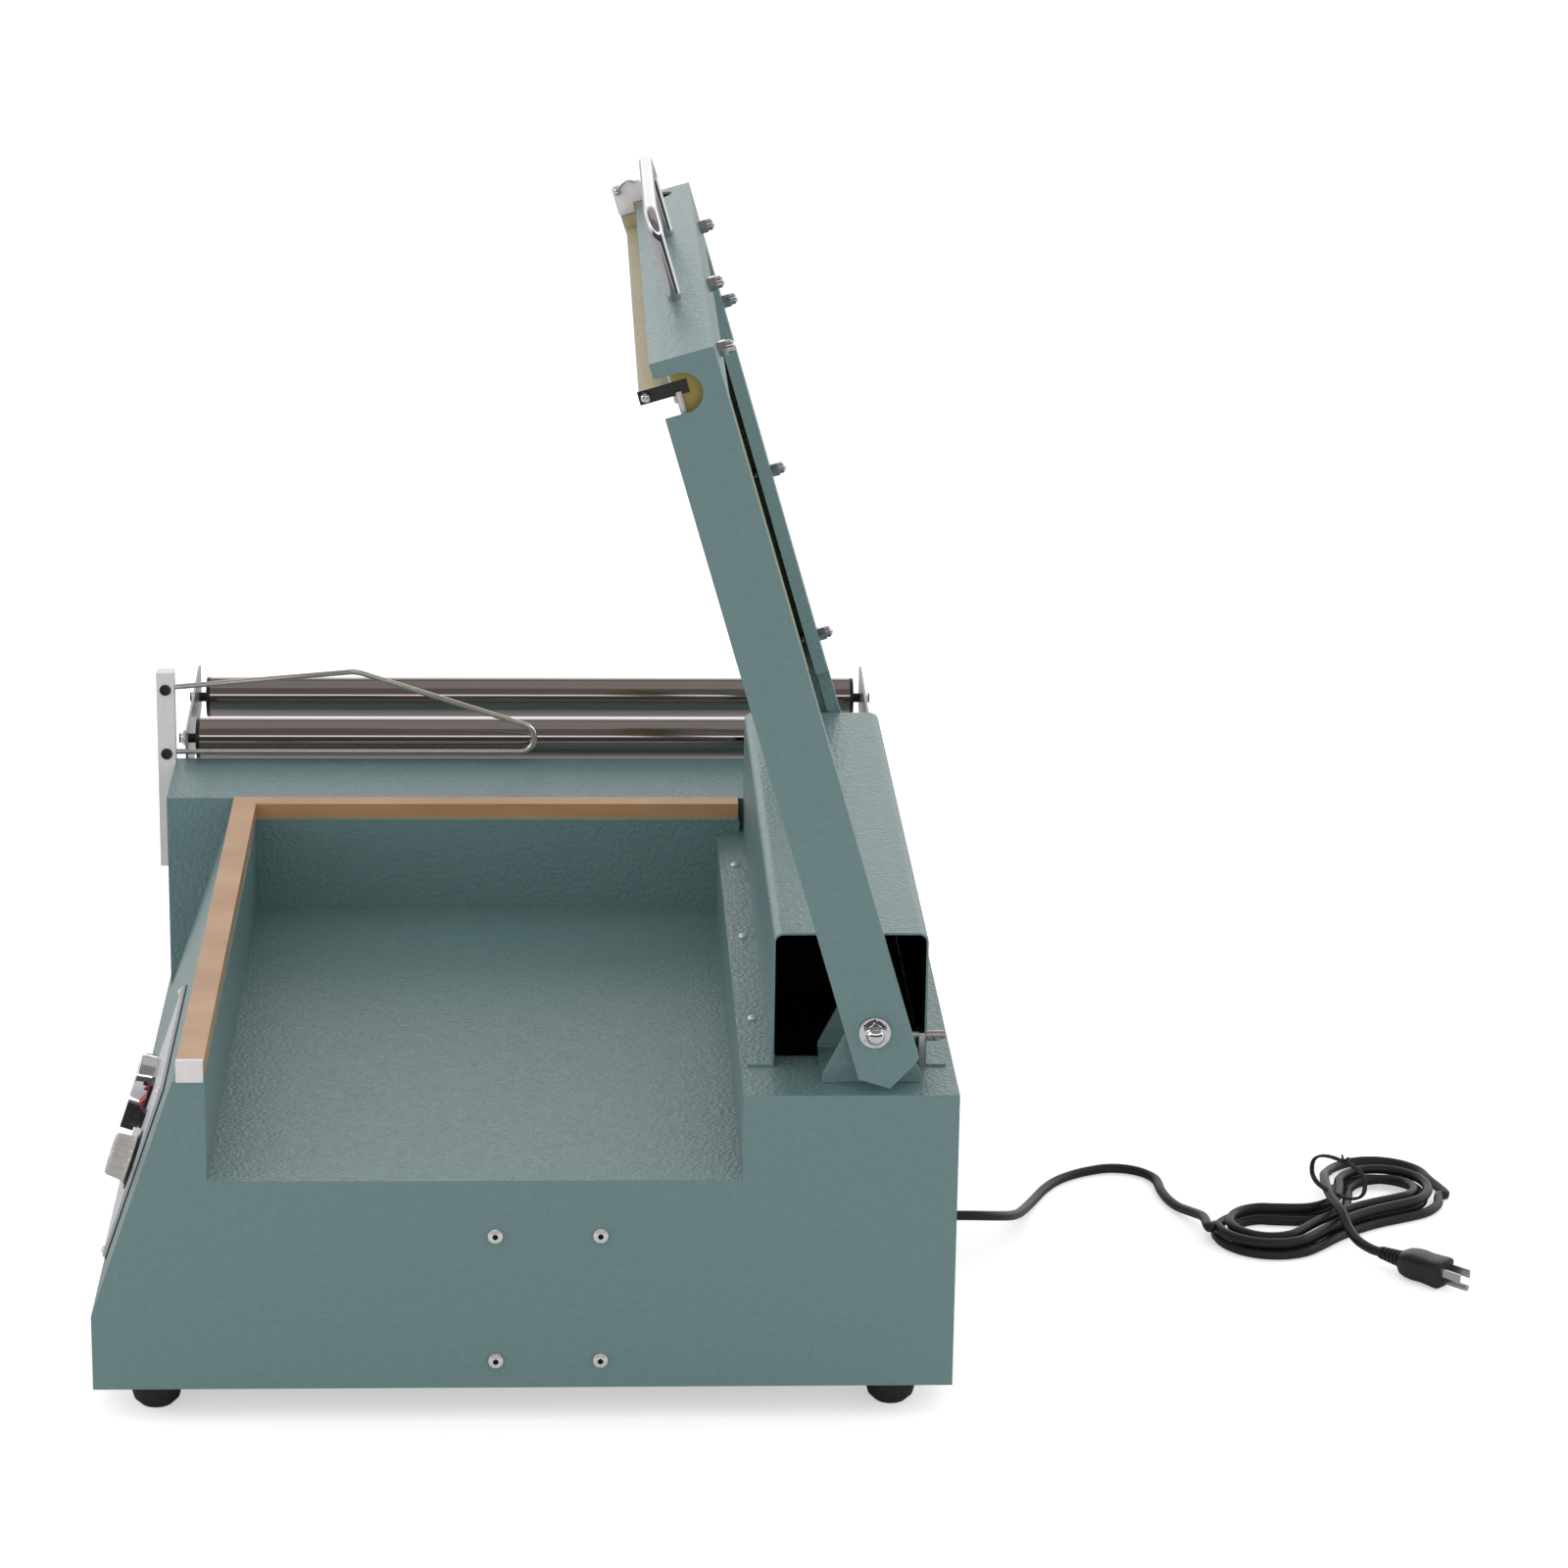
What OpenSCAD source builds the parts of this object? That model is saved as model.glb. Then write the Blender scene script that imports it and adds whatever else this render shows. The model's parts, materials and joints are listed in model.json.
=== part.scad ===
// L-bar sealer: a film sealing bench with a sprung L-shaped jaw, film rollers and a mains cord.
// X runs along the casing from the far end to the near, open end of the tray. Y runs from the
// front, where the panel is, to the rear hinge. Z is up, and the rubber feet stand on Z = 0.

/* [Casing] */
// Length of the casing
body_l = 714; // [660:1:780]
// Depth of the casing, front lip to rear face
body_d = 600; // [580:1:640]
// Height of the upright front lip
lip_h = 55; // [45:1:70]
// How far the slanted front leans back
slant_run = 60; // [50:1:70]
// Height of the front rim
rim_h = 229; // [222:1:236]
// Width of the front rim
rim_w = 22; // [20:1:24]
// Height of the rear ledge
ledge_h = 217.6; // [212:0.1:220]
// Depth of the rear ledge
ledge_d = 149.2; // [147:0.1:151]
// Height of the tray's floor
tray_z = 155.5; // [140:0.5:170]
// Length of the tray
tray_l = 586; // [560:1:600]
// Height of the deck at the far end
deck_h = 242; // [238:0.5:242]
// Setback of the deck's front face
deck_setback = 9; // [8:1:12]
// Thickness of the folded sheet
sheet_t = 1.5; // [1.2:0.1:2]

/* [Feet and bottom] */
// Height of a rubber foot
foot_h = 25; // [20:1:30]
// Diameter of a foot at its top
foot_d = 40; // [36:1:44]
// Diameter of a foot at its bottom
foot_low_d = 32; // [28:1:34]
// Distance of the feet from the casing's ends
foot_end_gap = 35; // [30:1:50]
// Distance of the feet from the front and rear faces
foot_side_gap = 41; // [30:1:50]
// Depth of the bottom plate, front to rear
bottom_plate_d = 333; // [310:1:350]

/* [Seal strip] */
// Width of the seal strip
strip_w = 18; // [16:1:18]
// Height of the seal strip above the rim
strip_h = 14; // [12:1:15]
// Thickness of the tape over the strip
tape_t = 0.6; // [0.4:0.1:0.8]

/* [Hinge cover] */
// Height of the hinge cover above the casing's bottom
cover_top = 316; // [312:1:318]
// Depth of the cover between its outer walls
cover_d = 108; // [106:1:110]
// Gap from the near end face to the cover
cover_near_gap = 57; // [54:1:60]
// Width of the cover's front flange
cover_flange = 17; // [15:1:18]

/* [Jaw] */
// Distance of the hinge axis from the rear face
pivot_back = 59.5; // [58:0.5:61]
// Height of the hinge axis above the casing's bottom
pivot_h = 262; // [261:0.5:263]
// How far the open arms lean back from the vertical
open_lean = 16.4; // [10:0.1:20]
// Length of the arms from the hinge axis to the front bar's face
arm_l = 492; // [490:1:496]
// Depth of the jaw's folded section
jaw_depth = 44; // [42:1:45]
// Distance between the arms' outer faces
jaw_w = 614; // [613:1:616]
// Height of the front bar along the arm
front_bar_h = 44; // [42:1:46]
// Width of the arms where they are boxed
arm_box_w = 44; // [42:1:44]
// Thickness of the jaw's sheet
jaw_t = 2; // [1.6:0.1:2.2]
// Diameter of the hinge shaft
shaft_d = 14; // [12:1:16]

/* [Handle] */
// Diameter of the handle's rod
handle_rod_d = 10; // [8:0.5:12]
// Distance between the handle's legs
handle_w = 236; // [200:1:260]
// Reach of the handle beyond the front bar
handle_reach = 65; // [55:1:75]

/* [Sealing boards] */
// Width of the fibre carriers
carrier_w = 34; // [30:1:36]
// Depth of the fibre carriers
carrier_h = 19; // [17:0.5:19]
// Thickness of the blades
blade_t = 9.5; // [8:0.5:10]
// Diameter of the sealing wires
wire_d = 1.2; // [1:0.1:1.4]
// Travel of the sprung boards
board_travel = 3; // [2:0.5:3]

/* [Film rollers] */
// Diameter of the film rollers
roller_d = 34; // [30:1:36]
// Length of the film rollers
roller_l = 546; // [530:1:550]
// Distance between the rollers' axes
roller_pitch = 122; // [110:1:130]
// Height of the rollers' axes above the casing's bottom
roller_h = 253; // [250:1:256]
// Gap between the casing's far face and the nearer roller's axis
roller_gap = 21; // [20:1:26]

/* [Guide] */
// Side of the square guide bar
guide_w = 14.5; // [13:0.5:16]
// Length of the guide bar
guide_l = 166; // [160:1:175]
// Diameter of the guide wire
guide_wire_d = 4.6; // [4:0.1:5]

/* [Control panel] */
// Length of the control panel
panel_l = 214; // [204:1:224]
// Height of the control panel up the slanted front
panel_h = 134; // [126:1:140]
// Thickness of the control panel
panel_t = 3; // [2:0.5:4]
// Diameter of the timer knob
timer_knob_d = 35; // [30:1:36]
// Diameter of the indicator's bezel
indicator_d = 30; // [26:1:31]

/* [Cord] */
// Diameter of the mains cord
cord_d = 7.5; // [7:0.1:8]

/* [Hidden] */

fine = 48;
over = 1;
touch = 0.3;
running = 0.05;
hole_play = 0.3;

// Casing places, from the near end face, the middle plane and the casing's bottom.
y_front = -body_d / 2;
y_rear = body_d / 2;
slant_h = rim_h - lip_h;
slant_a = atan(slant_run / slant_h);
y_rim = y_front + slant_run;
y_tray = y_rim + rim_w;
y_ledge = y_rear - ledge_d;
x_deck = tray_l + strip_w;
y_deck = y_front + deck_setback;
deck_over = 29.2;
y_deck_rear = y_ledge + deck_over;
rim_over = 1.2;
y_rim_rear = y_ledge + cover_flange + rim_over;

// Jaw places. The jaw's section runs from jaw_back to jaw_low across the arm.
y_pivot = y_rear - pivot_back;
jaw_low = 19.8;
jaw_back = jaw_low - jaw_depth;
jaw_inset = 5;
x_arm = -jaw_inset;
x_far_arm = x_arm - jaw_w;
bar_low = arm_l - front_bar_h;
narrow_w = 17;
near_box_w = 30;
box_start = 92;
lip_w = 10;
tail_l = 43;
tail_cut = 13;
wire_drop = 33;
closed_gap = 0.3;

// The whole part stands with its middle over the origin.
acorn_h = 11;
washer_t = 2;
x_high = x_arm + washer_t + acorn_h;
arm_play = 2;
x_far_stud = x_far_arm - washer_t - acorn_h;
x_roller_near = min(-body_l, x_far_stud - arm_play) - roller_gap;
x_roller_far = x_roller_near - roller_pitch;
x_low = x_roller_far - roller_d / 2;
y_low = y_deck - guide_w;
x_mid = (x_high + x_low) / 2;
y_mid = (y_low + y_rear) / 2;
module stand() translate([-x_mid, -y_mid, foot_h]) children();

// Fasteners: M6 button heads, small pan heads and acorn nuts.
m6 = 6;
button_d = 10.4;
button_h = 3.3;
socket_af = 4;
pan_d = 7;
pan_h = 2.6;
pan_shank = 4;
m8 = 8;

// A button head screw along +Z, its head standing on Z = 0.
module button_screw(shank) {
    difference() {
        union() {
            cylinder(d = button_d, h = button_h / 3, $fn = fine);
            translate([0, 0, button_h / 3])
                intersection() {
                    translate([0, 0, -button_d]) sphere(r = button_d + button_h * 2 / 3, $fn = fine);
                    cylinder(d = button_d, h = button_h, $fn = fine);
                }
        }
        translate([0, 0, button_h / 2]) cylinder(d = socket_af, h = button_h, $fn = 6);
    }
    translate([0, 0, -shank]) cylinder(d = m6 - running, h = shank, $fn = fine);
}

// A pan head screw along +Z with a cross recess.
module pan_screw(shank, head = pan_d) {
    slot_w = head / 7;
    slot_l = head * 0.6;
    difference() {
        cylinder(d = head, h = pan_h, $fn = fine);
        for (a = [0, 90])
            rotate([0, 0, a]) translate([-slot_l / 2, -slot_w / 2, pan_h / 2]) cube([slot_l, slot_w, pan_h]);
    }
    translate([0, 0, -shank]) cylinder(d = head / 2, h = shank, $fn = fine);
}

// An acorn nut along +Z: hexagon below, dome above.
module acorn_nut(af, height, bore_d) {
    hex_h = height * 0.5;
    dome_r = af * 0.46;
    difference() {
        union() {
            cylinder(d = af / cos(30), h = hex_h, $fn = 6);
            translate([0, 0, hex_h]) cylinder(r = dome_r, h = height - hex_h - dome_r / 2, $fn = fine);
            translate([0, 0, height - dome_r]) sphere(r = dome_r, $fn = fine);
        }
        translate([0, 0, -over]) cylinder(d = bore_d, h = hex_h + over, $fn = fine);
        translate([0, 0, -af]) cube([2 * af, 2 * af, 2 * af], center = true);
    }
}

module ring(outer, inner, height) {
    difference() {
        cylinder(d = outer, h = height, $fn = fine);
        translate([0, 0, -over]) cylinder(d = inner, h = height + 2 * over, $fn = fine);
    }
}

// A profile of (Y, Z) points drawn out along X from x1 down to x0.
module along_x(x1, x0, points)
    translate([x0, 0, 0]) rotate([90, 0, 90]) linear_extrude(x1 - x0) polygon(points);

// Casing sections, inset by t. Each is a list of (Y, Z) points.
function front_points(t, low) = [
    [y_front + t, low], [y_front + t, lip_h - t * tan(slant_a / 2)],
    [y_rim + t * (1 - sin(slant_a)) / cos(slant_a), rim_h - t]];
function tray_points(t, low) = concat(front_points(t, low), [
    [y_tray - t, rim_h - t], [y_tray - t, tray_z - t], [y_ledge + t, tray_z - t],
    [y_ledge + t, ledge_h - t], [y_rear - t, ledge_h - t], [y_rear - t, low]]);
function rim_points(t, low) = concat(front_points(t, low), [
    [y_rim_rear - t, rim_h - t], [y_rim_rear - t, ledge_h - t],
    [y_rear - t, ledge_h - t], [y_rear - t, low]]);
function deck_points(t, low) = [
    [y_deck + t, low], [y_deck + t, deck_h - t], [y_deck_rear - t, deck_h - t], [y_deck_rear - t, low]];

// Near-end screws, which carry the transformer's bracket.
near_screw_y = [-20, 53];
near_screw_z = [20.7, 114.6];
// Feet places.
foot_x = [-foot_end_gap, foot_end_gap - body_l];
foot_y = [y_front + foot_side_gap, y_rear - foot_side_gap];

// Slanted front: local X along the casing, Y up the slope, Z out of the face.
module on_slant(x, u, out = 0)
    translate([x, y_front, lip_h]) rotate([90 - slant_a, 0, 0]) translate([0, u, out]) children();

panel_x = -78;
panel_u = 12;
panel_mid_u = panel_u + panel_h / 2;
panel_rim = 8;

exit_x = -290;
exit_z = 8;
relief_root_d = 15;
relief_l = 20;

module body_shell() color([0.40, 0.51, 0.50]) stand() difference() {
    union() {
        along_x(0, -tray_l, tray_points(0, 0));
        along_x(-tray_l, -body_l, rim_points(0, 0));
        along_x(-x_deck, -body_l, deck_points(0, 0));
    }
    along_x(-sheet_t, -tray_l - sheet_t, tray_points(sheet_t, sheet_t));
    along_x(-tray_l - sheet_t, -body_l + sheet_t, rim_points(sheet_t, sheet_t));
    along_x(-x_deck - sheet_t, -body_l + sheet_t, deck_points(sheet_t, sheet_t));
    // Opening over the bottom plate.
    translate([-body_l + 2 * foot_end_gap, -bottom_plate_d / 2 + foot_d / 2, -over])
        cube([body_l - 4 * foot_end_gap, bottom_plate_d - foot_d, sheet_t + 2 * over]);
    // Cut-out behind the control panel.
    on_slant(panel_x - panel_l + panel_rim, panel_u + panel_rim, -sheet_t - over)
        cube([panel_l - 2 * panel_rim, panel_h - 2 * panel_rim, sheet_t + 2 * over]);
    // Holes for the near-end screws, the feet, the cover, the panel, the cord and the roller plates.
    for (y = near_screw_y, z = near_screw_z)
        translate([-sheet_t - over, y, z]) rotate([0, 90, 0])
            cylinder(d = m6 + hole_play, h = sheet_t + 2 * over, $fn = fine);
    for (x = foot_x, y = foot_y)
        translate([x, y, -over]) cylinder(d = m6 + hole_play, h = sheet_t + 2 * over, $fn = fine);
    translate([exit_x, y_rear + over, exit_z]) rotate([90, 0, 0])
        cylinder(d = relief_root_d * 0.8 + hole_play, h = sheet_t + 2 * over, $fn = fine);
    cover_screw_places() translate([0, 0, -sheet_t - over])
        cylinder(d = pan_shank, h = sheet_t + 2 * over, $fn = fine);
    panel_screw_places() translate([0, 0, -sheet_t - over])
        cylinder(d = pan_shank, h = sheet_t + 2 * over, $fn = fine);
}

plate_t = 1.5;
module bottom_plate() color([0.40, 0.51, 0.50]) stand()
    translate([foot_end_gap / 2 - body_l, -bottom_plate_d / 2, -plate_t])
        cube([body_l - foot_end_gap, bottom_plate_d, plate_t]);

module rubber_feet() color([0.08, 0.08, 0.08]) stand()
    for (x = foot_x, y = foot_y)
        translate([x, y, -foot_h]) difference() {
            edge = foot_h / 5;
            rotate_extrude($fn = fine) polygon([[0, 0], [foot_low_d / 2 - edge, 0], [foot_low_d / 2, edge],
                            [foot_d / 2, foot_h - edge], [foot_d / 2, foot_h], [0, foot_h]]);
            translate([0, 0, -over]) cylinder(d = button_d + touch, h = foot_h / 2 + over, $fn = fine);
            cylinder(d = m6 + hole_play, h = foot_h + over, $fn = fine);
        }

module casing_screws() color([0.80, 0.80, 0.82]) stand() {
    for (y = near_screw_y, z = near_screw_z)
        translate([0, y, z]) rotate([0, 90, 0]) button_screw(bracket_t + sheet_t + m6);
    for (x = foot_x, y = foot_y)
        translate([x, y, -foot_h / 2]) rotate([180, 0, 0]) button_screw(foot_h / 2 + sheet_t + m6);
}

// Control panel and what it carries, all square to the slanted front.
timer_x = -105;
timer_u = 78;
selector_x = -170;
selector_u = 84;
rocker_x = -205;
rocker_u = 88;
indicator_x = -235;
indicator_u = 90;
rocker_w = 13;
rocker_l = 19;
housing_rim = 2.5;
housing_deep = 20;
bush_d = 9;

module panel_screw_places() {
    inset = panel_rim / 2;
    for (x = [panel_x - inset, panel_x - panel_l + inset], u = [panel_u + inset, panel_u + panel_h - inset])
        on_slant(x, u) children();
}

module control_panel() color([0.72, 0.74, 0.74]) stand() difference() {
    on_slant(panel_x - panel_l, panel_u) cube([panel_l, panel_h, panel_t]);
    on_slant(timer_x, timer_u, -over) cylinder(d = bush_d + hole_play, h = panel_t + 2 * over, $fn = fine);
    on_slant(selector_x, selector_u, -over)
        cylinder(d = bush_d + hole_play, h = panel_t + 2 * over, $fn = fine);
    on_slant(indicator_x, indicator_u, -over)
        cylinder(d = indicator_d * 0.7 + hole_play, h = panel_t + 2 * over, $fn = fine);
    on_slant(rocker_x - rocker_w / 2 - housing_rim / 2, rocker_u - rocker_l / 2 - housing_rim / 2, -over)
        cube([rocker_w + housing_rim, rocker_l + housing_rim, panel_t + 2 * over]);
    panel_screw_places() translate([0, 0, -over])
        cylinder(d = pan_shank, h = panel_t + 2 * over, $fn = fine);
}

module panel_screws() color([0.80, 0.80, 0.82]) stand()
    panel_screw_places() translate([0, 0, panel_t]) pan_screw(panel_t + sheet_t + pan_shank, pan_d * 0.85);

bezel_h = 8;
module indicator_bezel() color([0.80, 0.80, 0.82]) stand() on_slant(indicator_x, indicator_u, panel_t)
    difference() {
        union() {
            rotate_extrude($fn = fine) polygon([[0, 0], [indicator_d / 2, 0], [indicator_d / 2, bezel_h / 3],
                [indicator_d * 0.44, bezel_h], [indicator_d * 0.36, bezel_h], [0, bezel_h]]);
            translate([0, 0, -housing_deep]) cylinder(d = indicator_d * 0.7, h = housing_deep, $fn = fine);
        }
        translate([0, 0, bezel_h / 3]) cylinder(d = indicator_d * 0.66, h = bezel_h, $fn = fine);
    }

module indicator_lens() color([0.06, 0.06, 0.06]) stand()
    on_slant(indicator_x, indicator_u, panel_t + bezel_h / 3) rotate_extrude($fn = fine)
        polygon([[0, 0], [indicator_d * 0.33, 0], [indicator_d * 0.33, bezel_h * 0.45], [0, bezel_h * 0.6]]);

module rocker_housing() color([0.06, 0.06, 0.06]) stand() on_slant(rocker_x, rocker_u, panel_t)
    difference() {
        union() {
            translate([-rocker_w / 2 - housing_rim, -rocker_l / 2 - housing_rim, 0])
                cube([rocker_w + 2 * housing_rim, rocker_l + 2 * housing_rim, housing_rim]);
            translate([-rocker_w / 2 - housing_rim / 2, -rocker_l / 2 - housing_rim / 2, -housing_deep])
                cube([rocker_w + housing_rim, rocker_l + housing_rim, housing_deep]);
        }
        translate([-rocker_w / 2, -rocker_l / 2, -housing_deep + housing_rim])
            cube([rocker_w, rocker_l, 2 * housing_deep]);
        rotate([0, 90, 0])
            cylinder(d = rocker_pin_d, h = rocker_w + housing_rim / 2, center = true, $fn = fine);
    }

// The rocker turns on its pin, which lies in the panel's plane along X.
rocker_pin_d = 3;
rocker_tilt = 10;
rocker_swing = 2 * rocker_tilt;
rocker_play = 0.5;
module rocker() color([0.75, 0.10, 0.10]) stand() on_slant(rocker_x, rocker_u, panel_t) {
    half_l = rocker_l / 2 - rocker_play - housing_rim / 2;
    rotate([-rocker_tilt, 0, 0]) translate([-rocker_w / 2 + rocker_play, 0, 0])
        rotate([90, 0, 90]) linear_extrude(rocker_w - 2 * rocker_play)
            polygon([[-half_l, -housing_rim], [-half_l, 2 * housing_rim], [0, housing_rim],
                     [half_l, 2 * housing_rim], [half_l, -housing_rim], [0, -2 * housing_rim]]);
    rotate([0, 90, 0])
        cylinder(d = rocker_pin_d - 2 * running, h = rocker_w + housing_rim / 2 - touch,
                 center = true, $fn = fine);
}

nut_h = 2.5;
spindle_d = 6;
module selector_switch() color([0.20, 0.20, 0.21]) stand() on_slant(selector_x, selector_u, panel_t) {
    body_w = 24;
    difference() {
        union() {
            translate([-body_w / 2, -body_w / 2, -housing_deep - panel_t])
                cube([body_w, body_w, housing_deep]);
            translate([0, 0, -panel_t]) cylinder(d = bush_d, h = panel_t + nut_h, $fn = fine);
            cylinder(d = bush_d * 1.6, h = nut_h, $fn = 6);
        }
        translate([0, 0, -housing_deep]) cylinder(d = spindle_d, h = housing_deep + nut_h + over, $fn = fine);
    }
}

selector_h = 15;
selector_w = 7;
selector_l = 24;
selector_base_d = 18;
module selector_knob() color([0.05, 0.05, 0.05]) stand()
    on_slant(selector_x, selector_u, panel_t + nut_h + touch) {
        difference() {
            union() {
                cylinder(d = selector_base_d, h = selector_h / 2, $fn = fine);
                translate([-selector_w / 2, -selector_l / 2, selector_h / 5])
                    cube([selector_w, selector_l, selector_h * 4 / 5]);
            }
            translate([-selector_w / 12, 0, selector_h - selector_h / 12])
                cube([selector_w / 6, selector_l / 2 + over, selector_h]);
        }
        translate([0, 0, -nut_h - touch - housing_deep / 2])
            cylinder(d = spindle_d - 2 * running, h = nut_h + touch + housing_deep / 2, $fn = fine);
    }

// The timer: a fixed ring on the panel, a body behind it and a turning knob.
timer_ring_h = 2;
module timer_unit() color([0.62, 0.64, 0.65]) stand() on_slant(timer_x, timer_u, panel_t) difference() {
    body_w = 2 * (panel_x - panel_rim - timer_x - touch);
    union() {
        cylinder(d = timer_knob_d + 4 * timer_ring_h, h = timer_ring_h / 2, $fn = fine);
        cylinder(d = timer_knob_d + timer_ring_h, h = timer_ring_h, $fn = fine);
        translate([0, 0, -panel_t]) cylinder(d = bush_d, h = panel_t, $fn = fine);
        translate([-body_w / 2, -body_w / 2, -panel_t - housing_deep]) cube([body_w, body_w, housing_deep]);
    }
    translate([0, 0, -housing_deep])
        cylinder(d = spindle_d, h = housing_deep + over + timer_ring_h, $fn = fine);
}

timer_knob_h = 15;
module timer_knob() color([0.75, 0.76, 0.78]) stand()
    on_slant(timer_x, timer_u, panel_t + timer_ring_h + touch) {
        groove = timer_knob_h / 15;
        difference() {
            rotate_extrude($fn = fine) polygon([[0, 0], [timer_knob_d / 2, 0],
                [timer_knob_d / 2, timer_knob_h / 3], [timer_knob_d * 0.46, timer_knob_h - groove],
                [timer_knob_d * 0.44, timer_knob_h], [0, timer_knob_h]]);
            translate([-groove / 2, timer_knob_d / 5, timer_knob_h - groove])
                cube([groove, timer_knob_d / 2, timer_knob_h]);
        }
        translate([0, 0, -timer_ring_h - touch - housing_deep / 2])
            cylinder(d = spindle_d - 2 * running, h = timer_ring_h + touch + housing_deep / 2, $fn = fine);
    }

// Seal strip: an L with a mitred corner. Its two legs stay separate pieces.
strip_y = y_rim + (rim_w - strip_w) / 2 + strip_w / 18;
strip_side_l = y_rim_rear - over - strip_y;
base_wall = 2;
base_h = 11;
pad_proud = strip_h - base_h - tape_t;

// One leg's section swept as two mitred legs. The section is drawn from its outer to its inner edge.
module strip_legs(a, b, z, h) {
    far = x_deck;
    translate([0, 0, z]) linear_extrude(h)
        polygon([[0, strip_y + a], [-far + a, strip_y + a], [-far + b, strip_y + b], [0, strip_y + b]]);
    translate([0, 0, z]) linear_extrude(h)
        polygon([[-far + a, strip_y + a], [-far + a, strip_y + strip_side_l],
                 [-far + b, strip_y + strip_side_l], [-far + b, strip_y + b]]);
}

module seal_base() color([0.80, 0.81, 0.82]) stand() {
    difference() {
        strip_legs(0, strip_w, rim_h, base_h);
        strip_legs(base_wall, strip_w - base_wall, rim_h + base_wall, base_h);
    }
}

module silicone_pad() color([0.62, 0.24, 0.16]) stand() {
    strip_legs(base_wall, strip_w - base_wall, rim_h + base_wall, base_h - base_wall);
    strip_legs(0, strip_w, rim_h + base_h, pad_proud);
}

tape_end = 4;
module seal_tape() color([0.65, 0.53, 0.45]) stand() difference() {
    union() {
        strip_legs(0, strip_w, rim_h + strip_h - tape_t, tape_t);
        strip_legs(strip_w, strip_w + tape_t, rim_h + base_wall, strip_h - base_wall);
    }
    translate([-tape_end, y_front, rim_h]) cube([2 * tape_end, body_d, 2 * strip_h]);
}

// Hinge cover: a hat section with rounded top edges, open at both ends.
flange_gap = 4.7;
y_cover = y_ledge + cover_flange + flange_gap;
y_cover_rear = y_cover + cover_d;
cover_l = 541;
x_cover = -cover_near_gap;
cover_r = 7;
rear_flange = 14;

module cover_section(inset, low) {
    r = cover_r - inset;
    w = cover_d - 2 * inset;
    h = cover_top - inset - low;
    translate([y_cover + inset, low]) {
        square([w, h - r]);
        translate([r, 0]) square([w - 2 * r, h]);
        translate([r, h - r]) circle(r = r, $fn = fine);
        translate([w - r, h - r]) circle(r = r, $fn = fine);
    }
}

module cover_screw_places()
    for (x = cover_screw_x)
        translate([x, y_cover - cover_flange / 2 - sheet_t, ledge_h]) children();
cover_screw_x = [-150, -329, -501];

module hinge_cover() color([0.40, 0.51, 0.50]) stand() difference() {
    translate([x_cover - cover_l, 0, 0]) rotate([90, 0, 90]) linear_extrude(cover_l) difference() {
        union() {
            cover_section(0, ledge_h);
            translate([y_cover - cover_flange, ledge_h])
                square([cover_flange + rear_flange + cover_d, sheet_t]);
        }
        cover_section(sheet_t, ledge_h - over);
    }
    cover_screw_places() translate([0, 0, -over]) cylinder(d = pan_shank, h = 2 * sheet_t + over, $fn = fine);
    for (x = [x_adjust_near, x_adjust_far])
        translate([x, y_cover_rear - 2 * sheet_t, adjust_z]) rotate([-90, 0, 0])
            cylinder(d = m6 + hole_play, h = 4 * sheet_t, $fn = fine);
    // The flange stops short of the raised rim behind the strip.
    translate([-tray_l + touch - 2 * body_d, y_rim_rear + touch - body_d, ledge_h - over])
        cube([2 * body_d, body_d, sheet_t + 2 * over]);
}

module cover_screws() color([0.80, 0.80, 0.82]) stand()
    cover_screw_places() translate([0, 0, sheet_t]) pan_screw(2 * sheet_t + pan_shank);

// Hinge brackets: a base on the ledge and two ears that carry bushes for the shaft.
bracket_t = 3;
bracket_l = 67;
bracket_gap = 2.7;
bracket_d = 69;
ear_r = 15;
bush_outer = 20;
bush_flange = 24;
x_bracket_near = x_arm - narrow_w - bracket_gap;
x_bracket_far = x_far_arm + narrow_w + bracket_gap + bracket_l;
y_bracket = y_pivot - bracket_d / 2;

function ear_x() = [x_bracket_near, x_bracket_near - bracket_l + bracket_t,
                    x_bracket_far, x_bracket_far - bracket_l + bracket_t];

module hinge_brackets() color([0.40, 0.51, 0.50]) stand() difference() {
    union() {
        for (x = [x_bracket_near, x_bracket_far])
            translate([x - bracket_l, y_bracket, ledge_h]) cube([bracket_l, bracket_d, bracket_t]);
        for (x = ear_x())
            translate([x - bracket_t, 0, 0]) rotate([90, 0, 90]) linear_extrude(bracket_t) union() {
                polygon([[y_bracket, ledge_h], [y_bracket + bracket_d, ledge_h],
                         [y_bracket + bracket_d, ledge_h + 2 * bracket_t],
                         [y_pivot + ear_r, pivot_h], [y_pivot - ear_r, pivot_h],
                         [y_bracket, ledge_h + 2 * bracket_t]]);
                translate([y_pivot, pivot_h]) circle(r = ear_r, $fn = fine);
            }
    }
    for (x = ear_x())
        translate([x - bracket_t - over, y_pivot, pivot_h]) rotate([0, 90, 0])
            cylinder(d = bush_outer, h = bracket_t + 2 * over, $fn = fine);
}

module hinge_bushes() color([0.72, 0.55, 0.28]) stand()
    for (x = ear_x())
        translate([x, y_pivot, pivot_h]) rotate([0, -90, 0]) difference() {
            union() {
                cylinder(d = bush_outer, h = bracket_t, $fn = fine);
                translate([0, 0, bracket_t]) cylinder(d = bush_flange, h = bracket_t, $fn = fine);
            }
            translate([0, 0, -over]) cylinder(d = shaft_d + 2 * running, h = 3 * bracket_t, $fn = fine);
        }

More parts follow.
